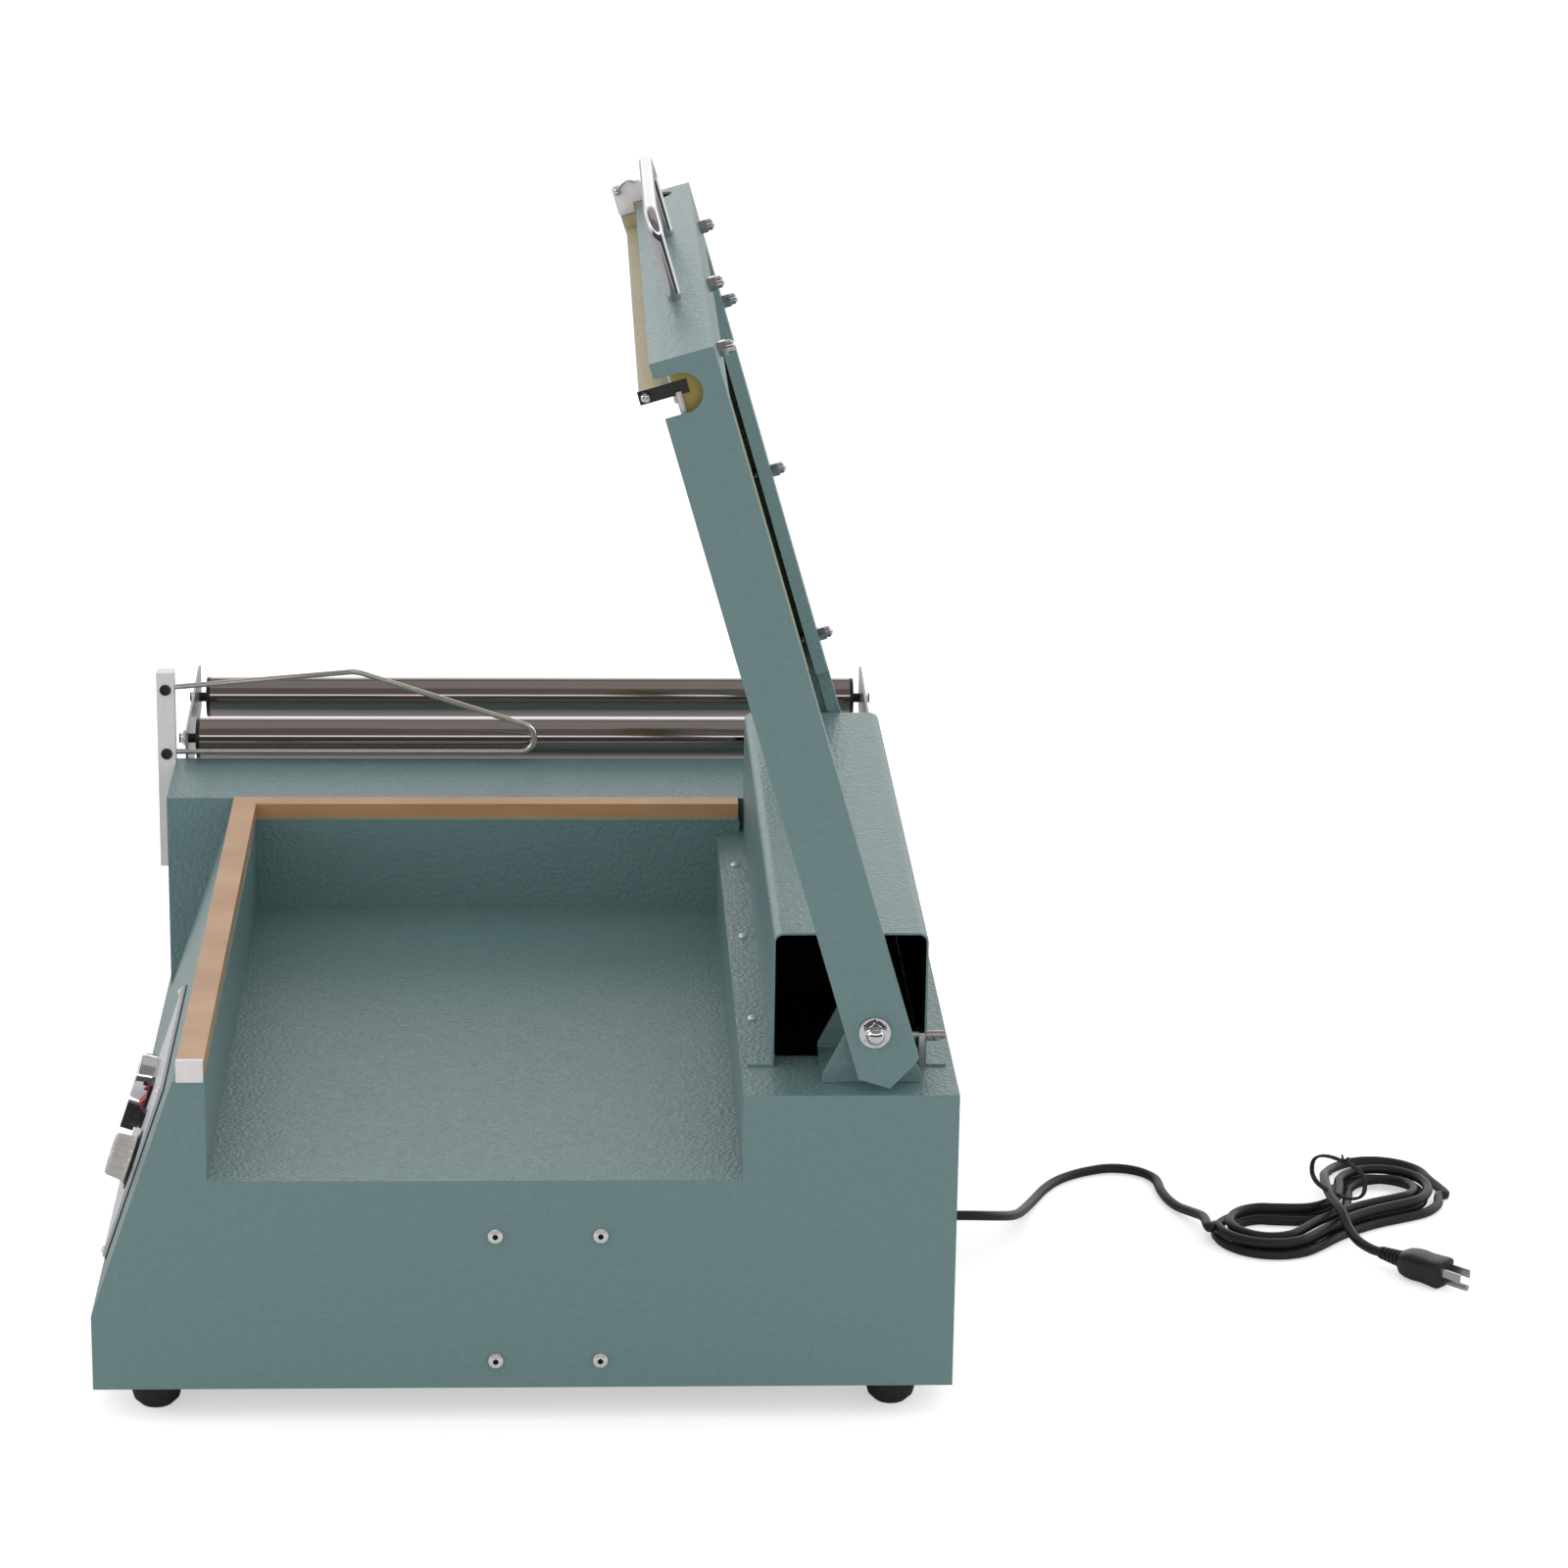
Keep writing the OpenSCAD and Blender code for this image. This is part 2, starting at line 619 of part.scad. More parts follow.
// Shaft between the two arms, with studs for the arms, washers and acorn nuts.
x_shaft_near = x_arm - jaw_t;
x_shaft_far = x_far_arm + jaw_t;
module hinge_shaft() color([0.75, 0.75, 0.77]) stand() {
    translate([x_shaft_far, y_pivot, pivot_h]) rotate([0, 90, 0])
        cylinder(d = shaft_d, h = x_shaft_near - x_shaft_far, $fn = fine);
    stud_l = jaw_t + washer_t + acorn_h / 3;
    translate([x_shaft_far - stud_l, y_pivot, pivot_h]) rotate([0, 90, 0])
        cylinder(d = m8, h = x_shaft_near - x_shaft_far + 2 * stud_l, $fn = fine);
}

pivot_washer_d = 22;
pivot_nut_af = 13;
module pivot_ends() {
    translate([x_arm, y_pivot, pivot_h]) rotate([0, 90, 0]) children();
    translate([x_far_arm, y_pivot, pivot_h]) rotate([0, -90, 0]) children();
}
module pivot_washers() color([0.80, 0.80, 0.82]) stand() pivot_ends() ring(pivot_washer_d, m8, washer_t);
module pivot_nuts() color([0.80, 0.80, 0.82]) stand()
    pivot_ends() translate([0, 0, washer_t]) acorn_nut(pivot_nut_af, acorn_h, m8);

// Torsion return springs round the shaft. One leg of each stands on the ledge, the other is held
// by a collar fixed on the shaft.
spring_l = 120;
spring_in = 20;
spring_wire = 4;
spring_out = spring_in + 2 * spring_wire;
collar_d = 32;
collar_l = 14;
spring_x = [x_bracket_near - bracket_l - collar_l, x_bracket_far + collar_l + spring_l];
module return_springs() color([0.45, 0.46, 0.48]) stand()
    for (x = spring_x) {
        translate([x - spring_l, y_pivot, pivot_h]) rotate([0, 90, 0]) ring(spring_out, spring_in, spring_l);
        translate([x - spring_l / 2, y_pivot - (spring_in + spring_wire) / 2, ledge_h])
            cylinder(d = spring_wire, h = pivot_h - ledge_h, $fn = fine);
    }

module spring_collars() color([0.55, 0.56, 0.58]) stand()
    for (x = [spring_x[0] - spring_l - touch, spring_x[1] + touch + collar_l])
        translate([x - collar_l, y_pivot, pivot_h]) rotate([0, 90, 0]) ring(collar_d, shaft_d, collar_l);

// Adjusting bolts through the cover's rear wall, each in a small upright tab on the ledge.
adjust_near = 3;
adjust_far = 36;
x_adjust_near = x_cover - adjust_near;
x_adjust_far = x_far_arm + adjust_far;
adjust_rise = 22.5;
adjust_z = ledge_h + adjust_rise;
tab_t = 4;
tab_w = 14;
tab_h = 26;
module adjusting_bolts() color([0.80, 0.80, 0.82]) stand()
    for (x = [x_adjust_near, x_adjust_far])
        translate([x, y_cover_rear - sheet_t, 0]) {
            translate([-tab_w / 2, -tab_t, ledge_h]) cube([tab_w, tab_t, tab_h]);
            translate([0, -tab_t - m6, adjust_z]) rotate([-90, 0, 0])
                cylinder(d = m6, h = tab_t + m6 + sheet_t + rear_flange - over, $fn = fine);
        }

// Film rollers on fixed axles between two side plates.
roller_end = 16;
plate_y = [y_front + roller_end, y_rear - roller_end];
side_t = 2;
axle_d = 8;
roller_wall = 2;
cap_t = 3;
cap_plug = 12;
roller_y = (plate_y[0] + plate_y[1]) / 2;

module roller_plates() color([0.72, 0.73, 0.74]) stand() difference() {
    for (side = [0, 1]) {
        y = plate_y[side] - (side == 0 ? 0 : side_t);
        plate_low = roller_h - 3 * roller_d;
        translate([0, y + side_t, 0]) rotate([90, 0, 0]) linear_extrude(side_t)
            polygon([[-body_l, plate_low], [-body_l, roller_h + roller_d / 3],
                     [x_roller_far - roller_d * 0.2, roller_h + roller_d * 0.7],
                     [x_roller_far - roller_d * 0.45, roller_h + roller_d * 0.7],
                     [x_roller_far - roller_d * 0.45, roller_h - roller_d * 0.35],
                     [x_roller_near - roller_d, roller_h - roller_d]]);
        translate([-body_l - side_t, y - (side == 0 ? 0 : guide_w - side_t), plate_low])
            cube([side_t, guide_w, 2 * roller_d]);
    }
    for (x = [x_roller_near, x_roller_far])
        translate([x, y_front, roller_h]) rotate([-90, 0, 0]) cylinder(d = axle_d, h = body_d, $fn = fine);
}

module roller_axles() color([0.75, 0.75, 0.77]) stand()
    for (x = [x_roller_near, x_roller_far])
        translate([x, plate_y[0] - axle_nut_h, roller_h]) rotate([-90, 0, 0])
            cylinder(d = axle_d, h = plate_y[1] - plate_y[0] + 2 * axle_nut_h, $fn = fine);

axle_nut_h = 6.5;
axle_nut_af = 13;
module axle_nuts() color([0.80, 0.80, 0.82]) stand()
    for (x = [x_roller_near, x_roller_far], side = [0, 1])
        translate([x, plate_y[side], roller_h]) rotate([side == 0 ? 90 : -90, 0, 0]) difference() {
            cylinder(d = axle_nut_af / cos(30), h = axle_nut_h, $fn = 6);
            translate([0, 0, -over]) cylinder(d = axle_d, h = axle_nut_h + 2 * over, $fn = fine);
        }

module roller_at(x) translate([x, roller_y - roller_l / 2, roller_h]) rotate([-90, 0, 0]) children();

module roller_near() color([0.70, 0.70, 0.70]) stand()
    roller_at(x_roller_near) ring(roller_d, roller_d - 2 * roller_wall, roller_l);
module roller_far() color([0.70, 0.70, 0.70]) stand()
    roller_at(x_roller_far) ring(roller_d, roller_d - 2 * roller_wall, roller_l);

module cap() {
    difference() {
        union() {
            translate([0, 0, -cap_t]) cylinder(d = roller_d, h = cap_t, $fn = fine);
            cylinder(d = roller_d - 2 * roller_wall, h = cap_plug, $fn = fine);
        }
        translate([0, 0, -cap_t - over])
            cylinder(d = axle_d + 2 * running, h = cap_t + cap_plug + 2 * over, $fn = fine);
    }
}
module caps(x) roller_at(x) {
    cap();
    translate([0, 0, roller_l]) mirror([0, 0, 1]) cap();
}
module roller_near_caps() color([0.06, 0.06, 0.06]) stand() caps(x_roller_near);
module roller_far_caps() color([0.06, 0.06, 0.06]) stand() caps(x_roller_far);

// Square guide bar on the deck's front face, with a bent guide wire held by two set screws.
guide_x = -body_l;
guide_top = 319;
guide_mid_x = guide_x + guide_w / 2;
guide_mid_y = y_deck - guide_w / 2;
wire_low_z = deck_h + 8;
wire_high_z = guide_top - guide_w;
set_screw_d = 6;

module guide_bar() color([0.80, 0.81, 0.82]) stand() difference() {
    translate([guide_x, y_deck - guide_w, guide_top - guide_l]) cube([guide_w, guide_w, guide_l]);
    for (z = [wire_low_z, wire_high_z]) {
        translate([guide_mid_x, guide_mid_y - guide_w / 4, z]) rotate([-90, 0, 0])
            cylinder(d = guide_wire_d, h = guide_w, $fn = fine);
        translate([guide_mid_x, guide_mid_y, z]) rotate([0, 90, 0])
            cylinder(d = set_screw_d, h = guide_w, $fn = fine);
    }
}

module guide_bar_screws() color([0.06, 0.06, 0.06]) stand()
    for (z = [wire_low_z, wire_high_z])
        translate([guide_mid_x + guide_wire_d / 2, guide_mid_y, z]) rotate([0, 90, 0]) difference() {
            screw_l = guide_w / 2 - guide_wire_d / 2 + over / 2;
            cylinder(d = set_screw_d, h = screw_l, $fn = fine);
            translate([0, 0, screw_l / 2]) cylinder(d = set_screw_d / 2, h = screw_l, $fn = 6);
        }

// The guide wire's corners, from the lower hole round to the upper one, in shares of its reach and span.
wire_reach = 365;
wire_span = wire_high_z - wire_low_z;
guide_share = [[0, 0], [1, 0], [0.427, 1.26], [0, 1]];
guide_r = [12, 30];
arc_steps = 10;
guide_corner = [for (p = guide_share)
    [guide_mid_x, guide_mid_y + wire_reach * p[0], wire_low_z + wire_span * p[1]]];

function unit(v) = v / norm(v);
// Points of the arc that rounds the corner b between a and c.
function corner_arc(a, b, c, r) =
    let (u = unit(a - b), v = unit(c - b), half = acos(u * v) / 2,
         centre = b + unit(u + v) * r / sin(half), first = unit(b + u * r / tan(half) - centre),
         last = unit(b + v * r / tan(half) - centre), turn = 180 - 2 * half,
         across = unit(last - (last * first) * first))
    [for (i = [0 : arc_steps])
        centre + r * (cos(turn * i / arc_steps) * first + sin(turn * i / arc_steps) * across)];

// A tube through the points of a route, its rings turned about the axis named level.
function heading(route, i) = i == 0 ? route[1] - route[0]
    : i == len(route) - 1 ? route[i] - route[i - 1] : route[i + 1] - route[i - 1];
function ring_points(p, t, r, sides, level) =
    let (side = unit(cross(t, level)), up = cross(side, t))
    [for (k = [0 : sides - 1]) p + r * (cos(360 * k / sides) * side + sin(360 * k / sides) * up)];

module tube(route, r, sides, level = [0, 0, 1]) {
    count = len(route);
    points = [for (i = [0 : count - 1]) each ring_points(route[i], unit(heading(route, i)), r, sides, level)];
    walls = [for (i = [0 : count - 2], k = [0 : sides - 1])
        let (a = i * sides + k, b = i * sides + (k + 1) % sides)
        each [[a, a + sides, b], [b, a + sides, b + sides]]];
    ends = [[for (k = [0 : sides - 1]) k], [for (k = [sides - 1 : -1 : 0]) (count - 1) * sides + k]];
    polyhedron(points, concat(walls, ends));
}

module guide_wire() color([0.80, 0.80, 0.82]) stand()
    tube(concat([guide_corner[0]], corner_arc(guide_corner[0], guide_corner[1], guide_corner[2], guide_r[0]),
                corner_arc(guide_corner[1], guide_corner[2], guide_corner[3], guide_r[1]), [guide_corner[3]]),
         guide_wire_d / 2, 12, [1, 0, 0]);

module rod(p, q, d) {
    v = q - p;
    l = norm(v);
    translate(p) rotate([0, acos(v[2] / l), atan2(v[1], v[0])]) cylinder(d = d, h = l, $fn = fine);
}

// Transformer on its bracket behind the near end face.
bracket_margin = 12;
trafo_l = 74;
module transformer() color([0.30, 0.31, 0.33]) stand() {
    y0 = near_screw_y[0] - bracket_margin;
    w = near_screw_y[1] - near_screw_y[0] + 2 * bracket_margin;
    z0 = near_screw_z[0] - bracket_margin;
    h = near_screw_z[1] - near_screw_z[0] + 2 * bracket_margin;
    difference() {
        translate([-sheet_t - bracket_t, y0, z0]) cube([bracket_t, w, h]);
        for (y = near_screw_y, z = near_screw_z)
            translate([-sheet_t - bracket_t - over, y, z]) rotate([0, 90, 0])
                cylinder(d = m6, h = bracket_t + 2 * over, $fn = fine);
    }
    translate([-sheet_t - bracket_t - trafo_l, y0 + bracket_margin + m6, z0 + bracket_margin + m6])
        cube([trafo_l, w - 2 * bracket_margin - 2 * m6, h - 2 * bracket_margin - 2 * m6]);
    translate([-sheet_t - bracket_t - trafo_l * 0.8, y0, z0 + bracket_margin + 2 * m6])
        cube([trafo_l * 0.6, w, h - 2 * bracket_margin - 4 * m6]);
}

// Jaw: local Y runs along the arm (u) and local Z to the jaw's back (minus w). The jaw is drawn open.
module on_jaw() translate([0, y_pivot, pivot_h]) rotate([90 + open_lean, 0, 0]) mirror([0, 0, 1]) children();
// A block from x1 down by lx, from u0 by lu, and across the arm from w0 by lw.
module jaw_block(x1, lx, u0, lu, w0, lw) translate([x1 - lx, u0, -w0 - lw]) cube([lx, lu, lw]);

slot_w = 27.6;
slot_end = -9.6;
slot_rise = 19.4;
slot_mid = bar_low + slot_rise;
side_x = x_deck - strip_w / 2;
nut_x_share = [0.13, 0.49, 0.855];
front_nut_x = [for (s = nut_x_share) x_arm - jaw_w * s];
nut_inset = 20;
front_nut_u = arm_l - nut_inset;
side_nut_share = [0.24, 0.524, 0.81];
side_nut_u = [for (s = side_nut_share) arm_l * s];
handle_near = 189;
handle_x = [-handle_near, -handle_near - handle_w];
handle_w0 = -2.5;
corner_r = 3;

// Arm sheet in the plane of u and w, with the pointed tail.
module arm_sheet(x1) translate([x1 - jaw_t, 0, 0]) rotate([90, 0, 90]) linear_extrude(jaw_t)
    polygon([[arm_l, -jaw_back], [arm_l, -jaw_low], [-tail_l + tail_cut, -jaw_low],
             [-tail_l, -jaw_low + jaw_depth * 0.43], [-tail_l + tail_cut, -jaw_back - corner_r],
             [-tail_l + tail_cut + corner_r, -jaw_back]]);

module u_slot(x, u, w, deep, along)
    // A slot with a round end, cut across the sheet along X or along u.
    if (along == "x") {
        translate([x - deep, u, -w]) rotate([0, 90, 0]) cylinder(d = slot_w, h = 2 * deep, $fn = fine);
        translate([x - deep, u - slot_w / 2, -jaw_low - over]) cube([2 * deep, slot_w, jaw_low + over - w]);
    } else {
        translate([x, u - deep, -w]) rotate([-90, 0, 0]) cylinder(d = slot_w, h = 2 * deep, $fn = fine);
        translate([x - slot_w / 2, u - deep, -jaw_low - over]) cube([slot_w, 2 * deep, jaw_low + over - w]);
    }

module jaw_frame() color([0.40, 0.51, 0.50]) stand() on_jaw() difference() {
    web = jaw_t;
    tail = -tail_l + tail_cut + corner_r;
    union() {
        arm_sheet(x_arm);
        arm_sheet(x_far_arm + jaw_t);
        // Near arm: web and inner lip, narrow by the hinge and boxed above it.
        jaw_block(x_arm, narrow_w, tail, arm_l - tail, jaw_back, web);
        jaw_block(x_arm - narrow_w + web, web, tail, box_start - tail, jaw_back, lip_w);
        jaw_block(x_arm, near_box_w, box_start, arm_l - box_start, jaw_back, web);
        jaw_block(x_arm - near_box_w + web, web, box_start, bar_low - box_start, jaw_back, lip_w);
        // Far arm.
        jaw_block(x_far_arm + narrow_w, narrow_w, tail, arm_l - tail, jaw_back, web);
        jaw_block(x_far_arm + narrow_w, web, tail, box_start - tail, jaw_back, lip_w);
        jaw_block(x_far_arm + arm_box_w, arm_box_w, box_start, arm_l - box_start, jaw_back, web);
        jaw_block(x_far_arm + arm_box_w, web, box_start, bar_low - box_start, jaw_back, lip_w);
        // Front bar: outer flange, web and inner lip.
        jaw_block(x_arm, jaw_w, arm_l - web, web, jaw_back, jaw_depth);
        jaw_block(x_arm, jaw_w, bar_low, front_bar_h, jaw_back, web);
        jaw_block(x_arm - near_box_w + web, jaw_w - near_box_w - arm_box_w + 2 * web,
                  bar_low, web, jaw_back, lip_w);
    }
    u_slot(x_arm, slot_mid, slot_end + slot_w / 2, 2 * jaw_t, "x");
    u_slot(-side_x, arm_l, slot_end + slot_w / 2, 2 * jaw_t, "u");
    for (x = [x_arm, x_far_arm])
        translate([x - 2 * jaw_t, 0, 0]) rotate([0, 90, 0]) cylinder(d = m8, h = 4 * jaw_t, $fn = fine);
    for (x = front_nut_x)
        translate([x, front_nut_u, -jaw_back - 2 * web])
            cylinder(d = stud_d + 2 * running, h = 4 * web, $fn = fine);
    for (u = side_nut_u)
        translate([-side_x, u, -jaw_back - 2 * web])
            cylinder(d = stud_d + 2 * running, h = 4 * web, $fn = fine);
    for (x = handle_x)
        translate([x, arm_l - 2 * web, -handle_w0]) rotate([-90, 0, 0])
            cylinder(d = m6, h = 4 * web, $fn = fine);
}

// Handle: a bent rod whose two legs stand on the front bar's outer flange, each held by a screw.
handle_r = 18;
handle_screw_l = 16;
module handle_screw_places()
    for (x = handle_x) translate([x, arm_l - jaw_t, -handle_w0]) rotate([90, 0, 0]) children();

module handle() color([0.80, 0.80, 0.82]) stand() on_jaw() difference() {
    bend_u = arm_l + handle_reach - handle_rod_d / 2 - handle_r;
    union() {
        for (x = handle_x)
            translate([x, arm_l, -handle_w0]) rotate([-90, 0, 0])
                cylinder(d = handle_rod_d, h = bend_u - arm_l, $fn = fine);
        for (side = [0, 1])
            translate([handle_x[side] + (side == 0 ? -handle_r : handle_r), bend_u, -handle_w0])
                rotate([0, 0, side == 0 ? 0 : 90]) rotate_extrude(angle = 90, $fn = fine)
                    translate([handle_r, 0]) circle(d = handle_rod_d, $fn = fine);
        translate([handle_x[1] + handle_r, bend_u + handle_r, -handle_w0]) rotate([0, 90, 0])
            cylinder(d = handle_rod_d, h = handle_w - 2 * handle_r, $fn = fine);
    }
    handle_screw_places() translate([0, 0, -handle_screw_l])
        cylinder(d = m6, h = handle_screw_l - jaw_t + over / 2, $fn = fine);
}

module handle_screws() color([0.80, 0.80, 0.82]) stand() on_jaw()
    handle_screw_places() button_screw(handle_screw_l - touch);

// Sealing boards. Both ride on studs through the web, pressed down by springs.
board_low = 9;
carrier_back = board_low - carrier_h;
rail_t = 2;
rail_w = 20;
blade_back = board_low + rail_t;
blade_rise = 2.85;
front_blade_u = slot_mid + blade_rise;
board_gap = 5;
board_play = 1;
front_board_near = x_arm - jaw_t - board_gap;
front_board_l = side_x - carrier_w / 2 - board_gap + board_play + front_board_near;
front_blade_l = side_x - blade_t / 2 - board_gap / 2 + front_board_near;
side_board_low = box_start + board_gap;
side_board_l = bar_low + front_bar_h - jaw_t - 2 * over - side_board_low;
front_carrier_u = bar_low + jaw_t + jaw_t;
front_carrier_w = carrier_w;
stud_d = 6;
stud_nut_af = 10;
stud_nut_h = 12;
spring_d = 11;
stud_deep = 12;

// Height of the wire's edge at a place along the arm, so that the closed jaw lays it on the strip.
wire_z_closed = rim_h + strip_h + closed_gap;
closed_rise = asin((wire_z_closed - pivot_h + wire_drop) / front_blade_u);
function wire_w(u) = (pivot_h - wire_z_closed) / cos(closed_rise) + u * tan(closed_rise);

module front_carrier() color([0.50, 0.45, 0.22]) stand() on_jaw() difference() {
    jaw_block(front_board_near, front_board_l, front_carrier_u, front_carrier_w, carrier_back, carrier_h);
    for (x = front_nut_x)
        translate([x, front_nut_u, -carrier_back - stud_deep])
            cylinder(d = stud_d, h = 2 * stud_deep, $fn = fine);
}
module front_rail() color([0.82, 0.83, 0.84]) stand() on_jaw()
    jaw_block(front_board_near, front_board_l, front_blade_u - rail_w / 2, rail_w, board_low, rail_t);
// The blade reaches over the side board's rail with a raised nose, so that each board can slide alone.
nose_gap = 2;
nose_back = blade_back + board_travel + hole_play;
nose_start = side_x - carrier_w / 2 - nose_gap + front_board_near;
module front_blade() color([0.78, 0.74, 0.58]) stand() on_jaw() {
    jaw_block(front_board_near, nose_start, front_blade_u - blade_t / 2, blade_t,
              blade_back, wire_drop - wire_d - blade_back);
    jaw_block(front_board_near - nose_start + over, front_blade_l - nose_start + over,
              front_blade_u - blade_t / 2, blade_t, nose_back, wire_drop - wire_d - nose_back);
}

terminal_d = 8;
terminal_h = 3;
strap_t = 0.8;
strap_w = 9.3;
module front_wire() color([0.85, 0.86, 0.87]) stand() on_jaw()
    translate([front_board_near - front_blade_l, front_blade_u, -wire_drop + wire_d / 2]) rotate([0, 90, 0])
        cylinder(d = wire_d, h = front_blade_l, $fn = fine);
// End terminal: a spring strap from the carrier's end out along the blade, with a screw near its tip.
module front_terminals() color([0.55, 0.55, 0.57]) stand() on_jaw() {
    translate([front_board_near, 0, 0])
        jaw_block(strap_t, strap_t, front_blade_u - strap_w / 2, strap_w,
                  carrier_back + strap_w, wire_drop - carrier_back - strap_w);
    translate([front_board_near + strap_t, front_blade_u, -wire_drop + terminal_d / 2]) rotate([0, 90, 0])
        cylinder(d = terminal_d, h = terminal_h, $fn = fine);
}

module stud_with_nut() {
    // The stud stands along +Z from the carrier through the web; the nut sits on the web's outside.
    translate([0, 0, -carrier_back - stud_deep])
        cylinder(d = stud_d, h = stud_deep - jaw_back + carrier_back + stud_nut_h / 3, $fn = fine);
    translate([0, 0, -jaw_back + touch]) acorn_nut(stud_nut_af, stud_nut_h, stud_d);
}
module front_bolts() color([0.80, 0.80, 0.82]) stand() on_jaw()
    for (x = front_nut_x) translate([x, front_nut_u, 0]) stud_with_nut();

// Suspension springs between the web and a carrier.
module board_spring() {
    translate([0, 0, -carrier_back + touch])
        ring(spring_d, stud_d + 2 * touch, -jaw_back - jaw_t + carrier_back - touch);
}
module front_springs() color([0.45, 0.46, 0.48]) stand() on_jaw()
    for (x = front_nut_x) translate([x, front_nut_u, 0]) board_spring();
module side_springs() color([0.45, 0.46, 0.48]) stand() on_jaw()
    for (u = side_nut_u) translate([-side_x, u, 0]) board_spring();

side_blade_l = side_board_l + 2 * board_gap;
module side_carrier() color([0.50, 0.45, 0.22]) stand() on_jaw() difference() {
    jaw_block(-side_x + carrier_w / 2, carrier_w, side_board_low, side_board_l, carrier_back, carrier_h);
    for (u = side_nut_u)
        translate([-side_x, u, -carrier_back - stud_deep])
            cylinder(d = stud_d, h = 2 * stud_deep, $fn = fine);
}
module side_rail() color([0.82, 0.83, 0.84]) stand() on_jaw()
    jaw_block(-side_x + rail_w / 2, rail_w, side_board_low, side_blade_l, board_low, rail_t);
module side_blade() color([0.78, 0.74, 0.58]) stand() on_jaw()
    translate([-side_x - blade_t / 2, 0, 0]) rotate([90, 0, 90]) linear_extrude(blade_t)
        polygon([[side_board_low, -blade_back], [side_board_low + side_blade_l, -blade_back],
                 [side_board_low + side_blade_l, wire_d - wire_w(side_board_low + side_blade_l)],
                 [side_board_low, wire_d - wire_w(side_board_low)]]);
module side_wire() color([0.85, 0.86, 0.87]) stand() on_jaw()
    rod([-side_x, side_board_low, wire_d / 2 - wire_w(side_board_low)],
        [-side_x, side_board_low + side_blade_l, wire_d / 2 - wire_w(side_board_low + side_blade_l)],
        wire_d);
module side_terminals() color([0.55, 0.55, 0.57]) stand() on_jaw() {
    u = side_board_low + side_blade_l;
    jaw_block(-side_x + strap_w / 2, strap_w, u, strap_t, board_low + rail_t, wire_drop - board_low - rail_t);
    translate([-side_x, u + strap_t, -wire_drop + terminal_d / 2]) rotate([-90, 0, 0])
        cylinder(d = terminal_d, h = terminal_h, $fn = fine);
}
module side_bolts() color([0.80, 0.80, 0.82]) stand() on_jaw()
    for (u = side_nut_u) translate([-side_x, u, 0]) stud_with_nut();

// Mains cord. The strain relief leaves the rear face, and the cord lies behind the casing.
floor_z = -foot_h;
cord_r = cord_d / 2;
module strain_relief() color([0.05, 0.05, 0.05]) stand()
    translate([exit_x, y_rear - sheet_t - 2 * over, exit_z]) rotate([-90, 0, 0]) rotate_extrude($fn = fine)
        polygon([[0, 0], [relief_root_d * 0.4, 0], [relief_root_d * 0.4, sheet_t + 2 * over],
                 [relief_root_d / 2, sheet_t + 2 * over], [relief_root_d / 2, sheet_t + 4 * over],
                 [cord_r * 1.2, relief_l + sheet_t + 2 * over], [0, relief_l + sheet_t + 2 * over]]);

// The lead: points in the casing's frame, with heights above the surface the feet stand on. It
// leaves the relief, falls to that surface, turns once and comes to the hank on its left side. The
// last stretch rounds the hank's far lobe and crosses over its waist to the plug.
first_route = [[exit_x, y_rear + relief_l, 33], [exit_x, y_rear + relief_l + 13, 33], [-293, 347, 31.5],
    [-301, 359.5, 28], [-314.5, 369.5, 22.5], [-332, 377, 16.5], [-352, 383, 11], [-373, 389.5, 6.5],
    [-393, 397, 4.2], [-413, 406, 3.75], [-431, 418, 3.75], [-445, 434, 3.75], [-454.6, 452.6, 3.75],
    [-457, 464.2, 3.75], [-455.2, 475.9, 3.75], [-449.4, 486.1, 3.75], [-440.3, 493.7, 3.75],
    [-429.2, 497.6, 3.75], [-410, 498.5, 3.75], [-391, 502, 3.75], [-374, 508, 4.5], [-357, 515.5, 7.5],
    [-338, 522.5, 11]];
last_route = [[-430, 715, 3.75], [-449.2, 710.2, 3.75], [-464, 696.9, 3.75], [-470.8, 678.3, 3.75],
    [-468, 658.6, 3.75], [-456.4, 642.6, 3.75], [-440.6, 634.4, 6], [-421, 629.5, 12.5], [-401, 626, 19],
    [-381, 623.5, 21.5], [-361, 623, 22], [-341, 624.5, 22], [-322, 627.5, 21], [-304, 630, 15.5],
    [-288, 634.5, 12], [-273.7, 642.3, 11]];

function lift(route) = [for (p = route) [p[0], p[1], p[2] + floor_z]];

module mains_cord() color([0.05, 0.05, 0.05]) stand() {
    tube(concat(lift(first_route), [hank_route[0] - hank_in * cord_d, hank_route[0]]), cord_r, 8);
    tube(concat([hank_route[hank_count], hank_route[hank_count] + hank_out * cord_d], lift(last_route),
                lift([plug_at])), cord_r, 8);
}

// Hank: one unbroken tube that winds in on the upper layer, drops and winds out on the lower one.
// A turn is two round lobes joined by two hollow waists. All turns are parallel to the first.
hank_mid = [-350, 628];
hank_dir = [-0.6, 0.8];
hank_side = [0.8, 0.6];
lobe_x = 62;
lobe_y = -12;
lobe_r = 26;
waist_half = 6;
turn_step = 12.5;
lobe_rings = 11;
waist_rings = 3;
turn_rings = 2 * (lobe_rings + waist_rings);
first_ring = 5;
last_ring = 101;
drop_rings = 14;
layer = cord_d + 1.1;
hank_low = 3.75;
hank_count = last_ring - first_ring;
wind_rings = (hank_count - drop_rings) / 2;

